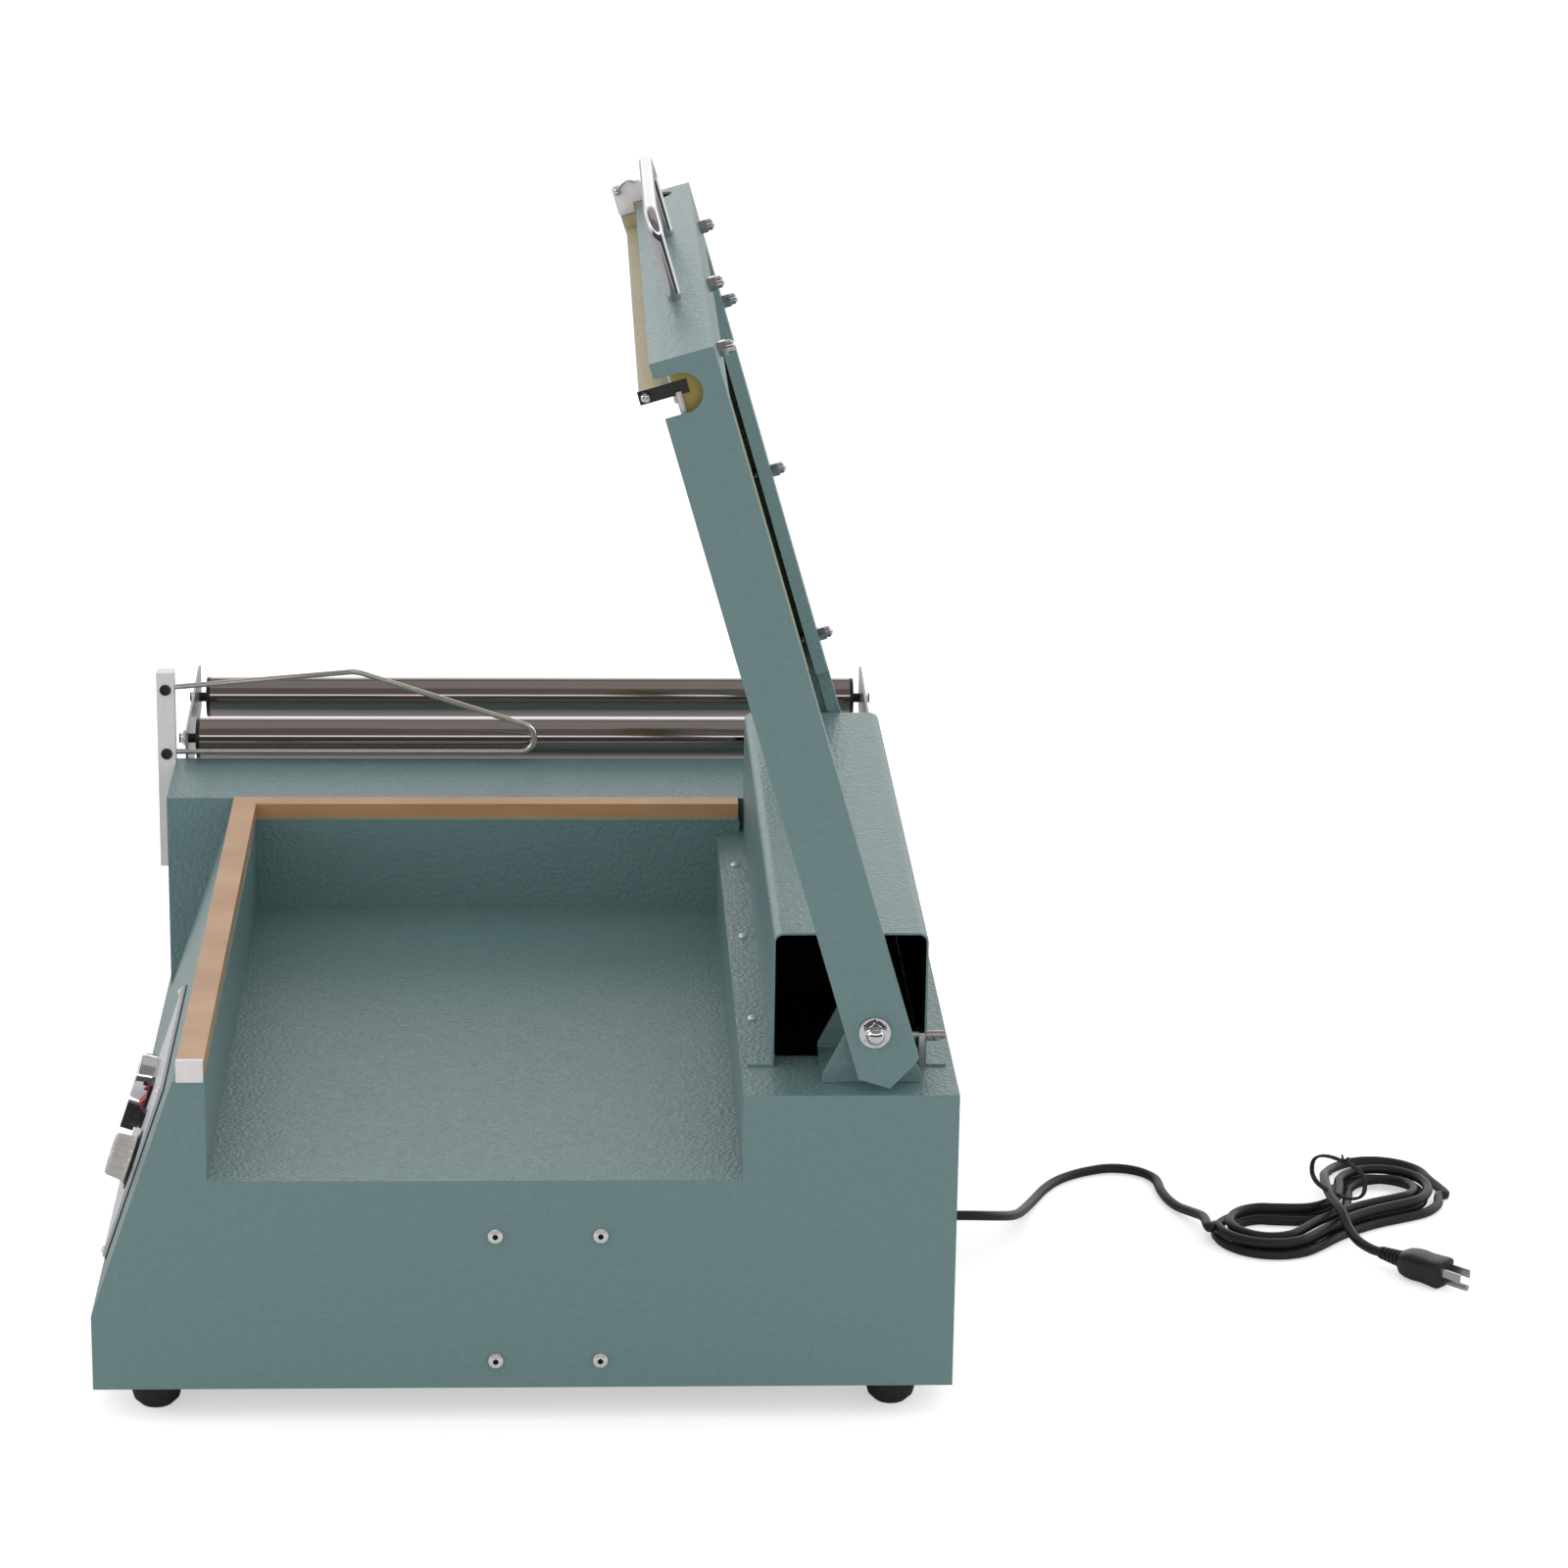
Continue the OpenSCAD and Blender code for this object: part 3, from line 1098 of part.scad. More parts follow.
// Radius of the waist on one side, from how far the lobes stand off it.
function waist_r(off) = (lobe_x * lobe_x + off * off - lobe_r * lobe_r) / (2 * (lobe_r - off));
near_r = waist_r(waist_half - lobe_y);
far_r = waist_r(waist_half + lobe_y);
near_y = near_r + waist_half;
far_y = far_r + waist_half;
near_a = atan2(near_y - lobe_y, lobe_x);
far_a = atan2(far_y + lobe_y, lobe_x);

// The four arcs of a turn: middle, radius, whether the offset widens it, start, sweep, rings, first ring.
hank_arcs = [
    [[-lobe_x, lobe_y], lobe_r, 1, 360 - far_a, near_a + far_a - 360, lobe_rings, 0],
    [[0, near_y], near_r, -1, near_a - 180, 180 - 2 * near_a, waist_rings, lobe_rings],
    [[lobe_x, lobe_y], lobe_r, 1, 180 - near_a, near_a + far_a - 360, lobe_rings, lobe_rings + waist_rings],
    [[0, -far_y], far_r, -1, far_a, 180 - 2 * far_a, waist_rings, 2 * lobe_rings + waist_rings]];

function hank_off(i) = turn_step / turn_rings
    * (i < wind_rings ? wind_rings - i : i < wind_rings + drop_rings ? 0 : i - wind_rings - drop_rings);
function hank_z(i) = hank_low + layer * (i < wind_rings ? 1
    : i < wind_rings + drop_rings ? (1 + cos(180 * (i - wind_rings) / drop_rings)) / 2 : 0);
function hank_point(i) =
    let (ring = (i + first_ring) % turn_rings, k = max([for (j = [0 : 3]) ring >= hank_arcs[j][6] ? j : 0]),
         arc = hank_arcs[k], a = arc[3] + arc[4] * (ring - arc[6]) / arc[5],
         r = arc[1] + arc[2] * hank_off(i),
         p = arc[0] + r * [cos(a), sin(a)])
    concat(hank_mid + p[0] * hank_dir + p[1] * hank_side, [hank_z(i) + floor_z]);
hank_route = [for (i = [0 : hank_count]) hank_point(i)];
hank_in = unit(hank_route[1] - hank_route[0]);
hank_out = unit(hank_route[hank_count] - hank_route[hank_count - 1]);
module cord_hank() color([0.05, 0.05, 0.05]) stand() tube(hank_route, cord_r, 6);

// Plug: a moulded body with a ribbed neck, two flat blades and a round ground pin.
plug_at = [-268, 648, 11];
plug_turn = 45;
plug_l = 38;
plug_w = 24;
plug_h = 21;
neck_l = 22;
blade_len = 18;
module on_plug() translate([plug_at[0], plug_at[1], plug_at[2] + floor_z])
    rotate([0, 90, plug_turn]) children();
module plug_body() color([0.05, 0.05, 0.05]) stand() on_plug() {
    for (i = [0 : 3])
        translate([0, 0, i * neck_l / 4]) cylinder(d = cord_d * (1.3 + i * 0.12), h = neck_l / 6, $fn = fine);
    cylinder(d = cord_d * 1.15, h = neck_l, $fn = fine);
    translate([-plug_h / 2, 0, neck_l]) rotate([90, 0, 90]) linear_extrude(plug_h)
        polygon([[-plug_w * 0.3, 0], [-plug_w / 2, plug_l / 3], [-plug_w / 2, plug_l], [plug_w / 2, plug_l],
                 [plug_w / 2, plug_l / 3], [plug_w * 0.3, 0]]);
}
module plug_pins() color([0.80, 0.80, 0.82]) stand() on_plug() translate([0, 0, neck_l + plug_l]) {
    blade_w = 6.3;
    blade_thick = 1.5;
    blade_pitch = 12.7;
    ground_d = 4.8;
    for (y = [-blade_pitch / 2, blade_pitch / 2])
        translate([-blade_w, y - blade_thick / 2, 0]) cube([blade_w, blade_thick, blade_len]);
    translate([plug_h / 2 - ground_d, 0, 0]) cylinder(d = ground_d, h = blade_len * 1.15, $fn = fine);
}

body_shell();
bottom_plate();
rubber_feet();
casing_screws();
control_panel();
panel_screws();
indicator_bezel();
indicator_lens();
rocker_housing();
rocker();
selector_switch();
selector_knob();
timer_unit();
timer_knob();
seal_base();
silicone_pad();
seal_tape();
hinge_cover();
cover_screws();
hinge_brackets();
hinge_bushes();
return_springs();
adjusting_bolts();
roller_plates();
roller_axles();
axle_nuts();
roller_near();
roller_near_caps();
roller_far();
roller_far_caps();
guide_bar();
guide_bar_screws();
guide_wire();
transformer();
jaw_frame();
handle();
handle_screws();
hinge_shaft();
spring_collars();
pivot_washers();
pivot_nuts();
front_springs();
side_springs();
front_carrier();
front_rail();
front_blade();
front_wire();
front_terminals();
front_bolts();
side_carrier();
side_rail();
side_blade();
side_wire();
side_terminals();
side_bolts();
strain_relief();
mains_cord();
cord_hank();
plug_body();
plug_pins();
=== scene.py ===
# %% [markdown]
# # An L-bar sealer, dressed for its photograph
# The sealer wraps goods in film. An L-shaped jaw with two hot wires closes on an L-shaped pad, cuts the film
# and welds it on two sides. The frame below has every body and joint of it. This lesson adds the finishes, the
# small hardware, the cord and the light.

# %% Load the frame
import json
import math

import bmesh
import bpy
from mathutils import Matrix, Vector


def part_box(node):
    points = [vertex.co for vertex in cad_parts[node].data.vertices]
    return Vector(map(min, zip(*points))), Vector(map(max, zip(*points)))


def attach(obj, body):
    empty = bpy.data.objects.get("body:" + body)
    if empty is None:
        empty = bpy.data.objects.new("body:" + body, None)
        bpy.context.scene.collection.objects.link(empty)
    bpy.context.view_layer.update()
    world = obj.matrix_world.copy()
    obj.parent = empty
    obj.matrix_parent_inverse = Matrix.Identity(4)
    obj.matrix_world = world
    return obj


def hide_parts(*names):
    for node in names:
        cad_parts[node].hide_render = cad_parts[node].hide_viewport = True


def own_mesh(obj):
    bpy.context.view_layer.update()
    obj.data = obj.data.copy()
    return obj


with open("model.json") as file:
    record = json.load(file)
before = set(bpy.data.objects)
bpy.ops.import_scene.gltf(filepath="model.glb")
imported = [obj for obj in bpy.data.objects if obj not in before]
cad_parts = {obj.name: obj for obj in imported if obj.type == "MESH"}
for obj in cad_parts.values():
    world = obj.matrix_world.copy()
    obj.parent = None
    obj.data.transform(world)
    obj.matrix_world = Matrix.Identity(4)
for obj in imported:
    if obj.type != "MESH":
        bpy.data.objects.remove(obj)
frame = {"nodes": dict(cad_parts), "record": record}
nodes = frame["nodes"]
body_of_node = {n: b for b, names in frame["record"]["behaviour"]["bodies"].items() for n in names}
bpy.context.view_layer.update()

# %% [markdown]
# ## Places
# The drawing is in millimetres: X from the near end face, Y from the middle, Z from the casing's bottom.
# Blender works in metres, in the frame's own corner. Three helpers turn the drawing's numbers into places in
# the frame: anywhere, on the slanted control front, and on the open jaw, which is measured from its hinge line.

# %% Places in the frame
MM = 0.001
X, Y, Z = Vector((1, 0, 0)), Vector((0, 1, 0)), Vector((0, 0, 1))
frame_shift = (433, 2.75, 25)
slant_foot, hinge_line = (-300, 55), (240.5, 262)
slant_up, slant_out = Vector((0, 0.32597, 0.94538)), Vector((0, -0.94538, 0.32597))
jaw_up, jaw_down = Vector((0, -0.28234, 0.95931)), Vector((0, -0.95931, -0.28234))


def at(x, y, z):
    return Vector([(v + shift) * MM for v, shift in zip((x, y, z), frame_shift)])


def on_slant(x, u, out=0):
    return at(x, *slant_foot) + slant_up * u * MM + slant_out * out * MM


def on_jaw(x, u, w):
    return at(x, *hinge_line) + jaw_up * u * MM + jaw_down * w * MM


def aimed(place, toward, side=X):
    z = Vector(toward).normalized()
    if abs(z.dot(side)) > 0.95:
        side = Y
    x = (side - z * z.dot(side)).normalized()
    m = Matrix((x, z.cross(x), z)).transposed().to_4x4()
    m.translation = place
    return m


print("panel's middle", [round(v, 3) for v in on_slant(-185, 79)])
print("jaw's head", [round(v, 3) for v in on_jaw(-5, 492, 0)])

# %% [markdown]
# ## The camera
# It looks along the machine's length from the near end, a little from above. A long lens far away would flatten
# it and a short one near by would stretch it. These values come from the straight edges of the photograph.

# %% Camera
yaw, pitch, roll = math.radians(2.88), math.radians(17.2708), math.radians(0.8838)
camera_place, focal_length = (3.45437, 0.02592, 1.40763), 108.03
forward = Vector((-math.cos(pitch) * math.cos(yaw), math.cos(pitch) * math.sin(yaw), -math.sin(pitch)))
level = forward.cross(Z).normalized()
lift = level.cross(forward)
right = level * math.cos(roll) + lift * math.sin(roll)
upward = lift * math.cos(roll) - level * math.sin(roll)
lens = bpy.data.cameras.new("camera")
lens.lens, lens.sensor_width, lens.sensor_fit = focal_length, 36, "HORIZONTAL"
lens.clip_start, lens.clip_end = 0.05, 60
camera = bpy.data.objects.new("camera", lens)
bpy.context.scene.collection.objects.link(camera)
camera.matrix_world = Matrix((right, upward, -forward)).transposed().to_4x4()
camera.location = camera_place
bpy.context.scene.camera = camera
bpy.context.scene.view_settings.view_transform = "Standard"
print("camera", tuple(round(v, 3) for v in camera.location), "lens", lens.lens)

# %% [markdown]
# ## Finishes
# One recipe makes every finish: two close tones mottled by noise, a roughness that wanders a little, and a fine
# relief. Stretching the noise makes brushed or turned metal. All of it is procedural, on the object's own
# coordinates, so it stays put when a piece moves.


# %% A recipe for finishes
def srgb(*values):
    return tuple(((v / 255 + 0.055) / 1.055) ** 2.4 if v > 10 else v / 255 / 12.92 for v in values)


def finish(name, tone, rough, metal=0.0, tone2=None, mottle=60, stretch=(1, 1, 1), spread=0.04, grain=None,
           weave=None, **sockets):
    m = bpy.data.materials.new(name)
    m.use_nodes = True
    tree = m.node_tree
    shader = tree.nodes["Principled BSDF"]
    new, link = tree.nodes.new, tree.links.new
    place = new("ShaderNodeTexCoord")
    scaled = new("ShaderNodeVectorMath")
    scaled.operation = "MULTIPLY"
    scaled.inputs[1].default_value = stretch
    link(place.outputs["Object"], scaled.inputs[0])
    clouds = new("ShaderNodeTexNoise")
    clouds.inputs["Scale"].default_value, clouds.inputs["Detail"].default_value = mottle, 4
    link(scaled.outputs[0], clouds.inputs["Vector"])
    mix = new("ShaderNodeMix")
    mix.data_type = "RGBA"
    mix.inputs["A"].default_value = (*tone, 1)
    mix.inputs["B"].default_value = (*(tone2 or [c * 0.9 for c in tone]), 1)
    link(clouds.outputs["Fac"], mix.inputs["Factor"])
    link(mix.outputs["Result"], shader.inputs["Base Color"])
    wander = new("ShaderNodeMapRange")
    lowest, highest = max(rough - spread, 0.02), rough + spread
    wander.inputs["To Min"].default_value, wander.inputs["To Max"].default_value = lowest, highest
    link(clouds.outputs["Fac"], wander.inputs["Value"])
    link(wander.outputs["Result"], shader.inputs["Roughness"])
    shader.inputs["Metallic"].default_value = metal
    height = None
    if grain:
        scale, strength, depth = grain
        peel = new("ShaderNodeTexNoise")
        peel.inputs["Scale"].default_value, peel.inputs["Detail"].default_value = scale, 2
        link(scaled.outputs[0], peel.inputs["Vector"])
        height = peel.outputs["Fac"]
    if weave:
        pitch_of_weave, axes, strength, depth = weave
        for axis in axes:
            thread = new("ShaderNodeTexWave")
            thread.bands_direction = axis
            thread.inputs["Scale"].default_value = 0.31416 / pitch_of_weave
            link(place.outputs["Object"], thread.inputs["Vector"])
            both = new("ShaderNodeMath")
            both.operation = "ADD"
            link(thread.outputs["Fac"], both.inputs[0])
            if height:
                link(height, both.inputs[1])
            else:
                both.inputs[1].default_value = 0
            height = both.outputs[0]
    if height:
        bump = new("ShaderNodeBump")
        bump.inputs["Strength"].default_value, bump.inputs["Distance"].default_value = strength, depth
        link(height, bump.inputs["Height"])
        link(bump.outputs["Normal"], shader.inputs["Normal"])
    for socket, value in sockets.items():
        shader.inputs[socket.replace("_", " ")].default_value = value
    return m


# %% [markdown]
# ## Paint, metals, plastics and boards
# The paint is a grey-green with a fine orange peel that breaks reflections into grains. Chrome is nearly a
# mirror, zinc is duller, and the rollers are turned, so their noise is stretched round them. The boards are
# fibre, olive for the carriers and beige for the blades. Each finish takes two tones, because no real surface
# has only one.

# %% The finishes in use
paint = finish("paint", srgb(100, 127, 128), 0.33, tone2=srgb(92, 119, 120), mottle=180, spread=0.06,
               grain=(300, 0.9, 0.0011), Specular_IOR_Level=0.7)
# Near black for painted shade: inside the hinge cover and on the sheet under it
cover_shade_black = finish("cover_shade_black", srgb(7, 6, 8), 0.85, tone2=srgb(12, 11, 13), mottle=220,
                     grain=(420, 0.05, 0.0002), Specular_IOR_Level=0.05)
chrome = finish("chrome", (0.83, 0.83, 0.85), 0.06, 1.0, tone2=(0.76, 0.76, 0.78), mottle=40, spread=0.02)
bright_wire = finish("bright_wire", (0.74, 0.70, 0.65), 0.14, 1.0, tone2=(0.62, 0.58, 0.53), mottle=300)
bright_zinc = finish("bright_zinc", srgb(232, 231, 230), 0.22, 0.55, tone2=srgb(212, 211, 210), mottle=300)
handle_chrome = finish("handle_chrome", (0.60, 0.59, 0.61), 0.07, 1.0, tone2=(0.52, 0.51, 0.53), mottle=40,
                       spread=0.02)
zinc = finish("bare_steel", (0.62, 0.61, 0.60), 0.24, 1.0, tone2=(0.5, 0.5, 0.49), mottle=300, spread=0.07)
roller_steel = finish("roller_steel", (0.345, 0.303, 0.287), 0.10, 1.0, tone2=(0.32, 0.28, 0.265), mottle=1,
                      stretch=(4, 500, 4), spread=0.02)
spring_steel = finish("spring_steel", (0.42, 0.42, 0.43), 0.25, 1.0, tone2=(0.28, 0.28, 0.3), mottle=400)
aluminium = finish("aluminium", (0.80, 0.80, 0.81), 0.36, 1.0, tone2=(0.7, 0.7, 0.72), mottle=1,
                   stretch=(30, 30, 900), spread=0.05)
guide_metal = finish("guide_bar", srgb(222, 218, 219), 0.3, 0.12, tone2=srgb(208, 204, 205), mottle=1,
                     stretch=(260, 260, 14), spread=0.05)
plate_metal = finish("plate_metal", srgb(150, 151, 157), 0.24, 0.45, tone2=srgb(134, 135, 141), mottle=90,
                     spread=0.05)
panel_metal = finish("panel_plate", srgb(200, 202, 204), 0.36, 0.25, tone2=srgb(196, 198, 200), mottle=1,
                     stretch=(12, 700, 700), spread=0.05)
rubber = finish("rubber", srgb(24, 24, 26), 0.62, tone2=srgb(34, 33, 34), mottle=240, grain=(900, 0.25, 0.0003))
cord_skin = finish("cord_skin", srgb(20, 20, 22), 0.42, tone2=srgb(28, 28, 30), mottle=120,
                   grain=(700, 0.12, 0.0003))
black_plastic = finish("black_plastic", srgb(22, 22, 24), 0.36, tone2=srgb(30, 30, 31), mottle=160,
                       grain=(1400, 0.12, 0.0002))
red_plastic = finish("red_plastic", srgb(176, 44, 50), 0.42, tone2=srgb(160, 36, 42), mottle=80,
                     Specular_IOR_Level=0.3)
silver_plastic = finish("silver_plastic", srgb(196, 192, 188), 0.26, 0.25, tone2=srgb(178, 174, 170), mottle=120,
                        Coat_Weight=0.4)
lens_glass = finish("lens", srgb(14, 15, 18), 0.12, tone2=srgb(22, 23, 26), mottle=60, Coat_Weight=0.6)
fibre = finish("fibre", srgb(152, 138, 66), 0.5, tone2=srgb(132, 118, 52), mottle=1, stretch=(50, 420, 420),
               grain=(1.5, 0.2, 0.0003))
blade_board = finish("blade", srgb(182, 171, 138), 0.5, tone2=srgb(160, 150, 116), mottle=1,
                     stretch=(60, 380, 380), grain=(1.5, 0.25, 0.0003))
silicone = finish("silicone", srgb(166, 88, 58), 0.5, tone2=srgb(150, 78, 50), mottle=80)
tape = finish("tape", srgb(192, 150, 106), 0.34, tone2=srgb(150, 108, 70), mottle=40, stretch=(0.5, 0.3, 1),
              spread=0.1, weave=(0.0011, "XY", 0.35, 0.00012), Specular_IOR_Level=0.6)
bronze = finish("bronze", (0.62, 0.45, 0.22), 0.4, 1.0, mottle=400)
iron = finish("iron", srgb(64, 64, 68), 0.5, 0.8, tone2=srgb(50, 50, 54), mottle=1, stretch=(20, 20, 1500),
              grain=(1, 0.3, 0.0003))
black_steel = finish("black_steel", srgb(24, 24, 26), 0.35, tone2=srgb(34, 34, 36), mottle=300)
# Dark finish for painted shade in the recessed sockets of the casing's button screws
socket_shade_dark = finish("socket_shade_dark", srgb(26, 24, 25), 0.45, 0.4, tone2=srgb(16, 15, 16), mottle=300)
print(len(bpy.data.materials), "materials")

# %% [markdown]
# ## The white room
# The photograph is cut out on white. The camera sees a white world, while the light that falls on the sealer is
# a little less overhead than from the sides, so the tops don't wash out. What shiny faces mirror is darker on
# the near side and bright low behind. That keeps the near faces flat in their own colour and puts light edges
# on top. Each ramp gives a shade for a height, from -1 straight down to 1 straight up.

# %% Helpers for the world
world = bpy.data.worlds.new("room")
bpy.context.scene.world = world
world.use_nodes = True
sky = world.node_tree
for n in list(sky.nodes):
    sky.nodes.remove(n)


def sky_node(kind, **values):
    n = sky.nodes.new(kind)
    for key, value in values.items():
        setattr(n, key, value)
    return n


def ramp(*stops):
    n = sky_node("ShaderNodeValToRGB")
    n.color_ramp.elements.remove(n.color_ramp.elements[0])
    for k, (height, shade) in enumerate(stops):
        e = n.color_ramp.elements[0] if k == 0 else n.color_ramp.elements.new((height + 1) / 2)
        e.position, e.color = (height + 1) / 2, (*shade, 1)
    return n


def grey(v, warm=0.0):
    return (v * (1 + warm), v, v * (1 - warm))


def chain(tree, *pairs):
    for a, b in pairs:
        tree.links.new(a, b)


print("world", world.name)

# %% What the world lights, mirrors and shows
direction = sky_node("ShaderNodeTexCoord")
split = sky_node("ShaderNodeSeparateXYZ")
height = sky_node("ShaderNodeMath", operation="MULTIPLY_ADD")
height.inputs[1].default_value, height.inputs[2].default_value = 0.5, 0.5
near_side = sky_node("ShaderNodeMapRange", interpolation_type="SMOOTHSTEP")
near_side.inputs["From Min"].default_value, near_side.inputs["From Max"].default_value = -0.25, 0.35
before = ramp((-1, grey(0.05)), (0.0, grey(0.07)), (0.38, grey(0.10)), (0.445, grey(2.2)), (0.49, grey(2.2)),
              (0.54, grey(0.24, 0.05)), (0.8, grey(0.22, 0.07)), (1, grey(0.24, 0.05)))
behind = ramp((-1, grey(0.2)), (0.0, grey(1.3)), (0.45, grey(1.3)), (0.6, grey(0.45)),
              (0.72, grey(0.26, 0.05)), (1, grey(0.24, 0.05)))
overhead = ramp((-1, (0.99, 1, 1)), (0.2, (1.08, 1.09, 1.09)), (0.6, (0.76, 0.75, 0.75)),
                (1, (0.52, 0.51, 0.51)))
mirrored = sky_node("ShaderNodeMix", data_type="RGBA")
rays = sky_node("ShaderNodeLightPath")
soft, shiny, white = (sky_node("ShaderNodeBackground") for _ in range(3))
soft.inputs["Strength"].default_value = 1.29
white.inputs["Color"].default_value = (1, 1, 1, 1)
by_gloss, by_camera = sky_node("ShaderNodeMixShader"), sky_node("ShaderNodeMixShader")
out = sky_node("ShaderNodeOutputWorld")
chain(sky, (direction.outputs["Generated"], split.inputs[0]), (split.outputs["Z"], height.inputs[0]),
      (split.outputs["X"], near_side.inputs["Value"]), (height.outputs[0], before.inputs[0]),
      (height.outputs[0], behind.inputs[0]), (near_side.outputs["Result"], mirrored.inputs["Factor"]),
      (height.outputs[0], overhead.inputs[0]), (overhead.outputs[0], soft.inputs["Color"]),
      (behind.outputs[0], mirrored.inputs["A"]), (before.outputs[0], mirrored.inputs["B"]),
      (mirrored.outputs["Result"], shiny.inputs["Color"]), (rays.outputs["Is Glossy Ray"], by_gloss.inputs[0]),
      (soft.outputs[0], by_gloss.inputs[1]), (shiny.outputs[0], by_gloss.inputs[2]),
      (rays.outputs["Is Camera Ray"], by_camera.inputs[0]), (by_gloss.outputs[0], by_camera.inputs[1]),
      (white.outputs[0], by_camera.inputs[2]), (by_camera.outputs[0], out.inputs["Surface"]))
print(len(sky.nodes), "nodes in the world")

# %% [markdown]
# ## Floor and lamps
# A white floor that is only lit never reads as white as the world, so to the camera it also glows a little, and
# it still shows the shadow. In mirrors it is greyer, so the underside doesn't shine. Three large, weak lamps
# give the soft shadows their direction.

# %% Floor
floor_grey, mirrored_grey, floor_glow, floor_size = 0.82, 0.6, 0.5, 60
floor_finish = bpy.data.materials.new("white_floor")
floor_finish.use_nodes = True
ft = floor_finish.node_tree
ft.nodes.remove(ft.nodes["Principled BSDF"])
matt, glow, seen, both_of, shade, share = (ft.nodes.new("ShaderNode" + kind) for kind in (
    "BsdfDiffuse", "Emission", "LightPath", "AddShader", "Mix", "Math"))
shade.data_type, share.operation = "RGBA", "MULTIPLY"
shade.inputs["A"].default_value = (floor_grey, floor_grey, floor_grey, 1)
shade.inputs["B"].default_value = (mirrored_grey, mirrored_grey, mirrored_grey, 1)
share.inputs[1].default_value = floor_glow
chain(ft, (seen.outputs["Is Glossy Ray"], shade.inputs["Factor"]),
      (shade.outputs["Result"], matt.inputs["Color"]), (seen.outputs["Is Camera Ray"], share.inputs[0]),
      (share.outputs[0], glow.inputs["Strength"]), (matt.outputs[0], both_of.inputs[0]),
      (glow.outputs[0], both_of.inputs[1]),
      (both_of.outputs[0], ft.nodes["Material Output"].inputs["Surface"]))
bpy.ops.mesh.primitive_plane_add(size=floor_size, location=(0, 0, -0.0004))
floor = bpy.context.object
floor.name = "floor"
floor.data.materials.append(floor_finish)
print("floor", floor_size, "m wide")


# %% Lamps
def lamp(name, place, target, size, watts):
    light = bpy.data.lights.new(name, "AREA")
    light.shape, light.size, light.size_y, light.energy = "RECTANGLE", size[0], size[1], watts
    o = bpy.data.objects.new(name, light)
    bpy.context.scene.collection.objects.link(o)
    o.matrix_world = aimed(Vector(place), Vector(place) - Vector(target))
    return o


lamps = [lamp("top_lamp", (-0.6, 0.3, 2.6), (0, 0, 0.2), (2.6, 2.6), 5),
         lamp("front_lamp", (0.9, -2.4, 1.5), (0, 0, 0.3), (1.8, 1.4), 7),
         lamp("rear_lamp", (-1.6, 2.2, 1.7), (0, 0.1, 0.4), (1.6, 1.2), 6)]
print(len(lamps), "lamps")

# %% [markdown]
# ## Working with meshes
# The first helpers give a turned surface, a box of a given size, a skin over a row of rings, and a way to pour
# one mesh into another. Everything round in this file is rings of points joined by faces.


# %% Helpers for shapes
def as_mesh(bm, name):
    mesh = bpy.data.meshes.new(name)
    bm.to_mesh(mesh)
    bm.free()
    return mesh


def circle(r, steps, z=0.0):
    turns = [math.tau * i / steps for i in range(steps)]
    return [Vector((r * math.cos(a), r * math.sin(a), z)) for a in turns]


def turned(profile, steps=36):
    bm = bmesh.new()
    rings = [[bm.verts.new(p) for p in circle(r * MM, 1 if r < 1e-6 else steps, z * MM)] for r, z in profile]
    for a, b in zip(rings, rings[1:]):
        for i in range(steps):
            j = (i + 1) % steps
            corners = [a[i % len(a)], a[j % len(a)], b[j % len(b)], b[i % len(b)]]
            unique = list(dict.fromkeys(corners))
            if len(unique) > 2:
                bm.faces.new(unique)
    bmesh.ops.recalc_face_normals(bm, faces=bm.faces)
    return as_mesh(bm, "turned")


def slab(bm, place, wide, deep, high):
    size = Matrix.Diagonal((wide * MM, deep * MM, high * MM, 1))
    bmesh.ops.create_cube(bm, size=1, matrix=place @ size)


def skinned(rings, caps=True):
    bm = bmesh.new()
    made = [[bm.verts.new(p) for p in ring] for ring in rings]
    for a, b in zip(made, made[1:]):
        for i in range(len(a)):
            j = (i + 1) % len(a)
            bm.faces.new((a[i], a[j], b[j], b[i]))
    if caps:
        bm.faces.new(list(reversed(made[0])))
        bm.faces.new(made[-1])
    bmesh.ops.recalc_face_normals(bm, faces=bm.faces)
    return bm


def pour(bm, mesh, place=Matrix.Identity(4)):
    copy = mesh.copy()
    copy.transform(place)
    bm.from_mesh(copy)
    bpy.data.meshes.remove(copy)


# %% [markdown]
# ## Handing a piece over
# A finished piece gets its finish and its body, and the CAD nodes that it stands for are hidden. A CAD mesh has
# knife-sharp edges. Folded sheet never has, so a copy of it is merged and every hard edge gets a small round,
# which catches the light as the bright lines of the photograph.


# %% Helpers for pieces
def piece(name, source, material, body, nodes_replaced=(), angle=35, shade=True):
    mesh = as_mesh(source, name) if isinstance(source, bmesh.types.BMesh) else source
    mesh.name = name
    mesh.materials.clear()
    for m in material if isinstance(material, (list, tuple)) else [material]:
        mesh.materials.append(m)
    if shade:
        mesh.shade_smooth()
        mesh.set_sharp_from_angle(angle=math.radians(angle))
    o = bpy.data.objects.new(name, mesh)
    bpy.context.scene.collection.objects.link(o)
    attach(o, body)
    if nodes_replaced:
        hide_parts(*nodes_replaced)
    return o


def plain_mesh(helper):
    graph = bpy.context.evaluated_depsgraph_get()
    result = bpy.data.meshes.new_from_object(helper.evaluated_get(graph), preserve_all_data_layers=True,
                                             depsgraph=graph)
    bpy.data.objects.remove(helper)
    return result


def settled(mesh, *modifiers):
    helper = bpy.data.objects.new("helper", mesh)
    bpy.context.scene.collection.objects.link(helper)
    for kind, values in modifiers:
        m = helper.modifiers.new(kind.lower(), kind)
        for key, value in values.items():
            setattr(m, key, value)
    return plain_mesh(helper)


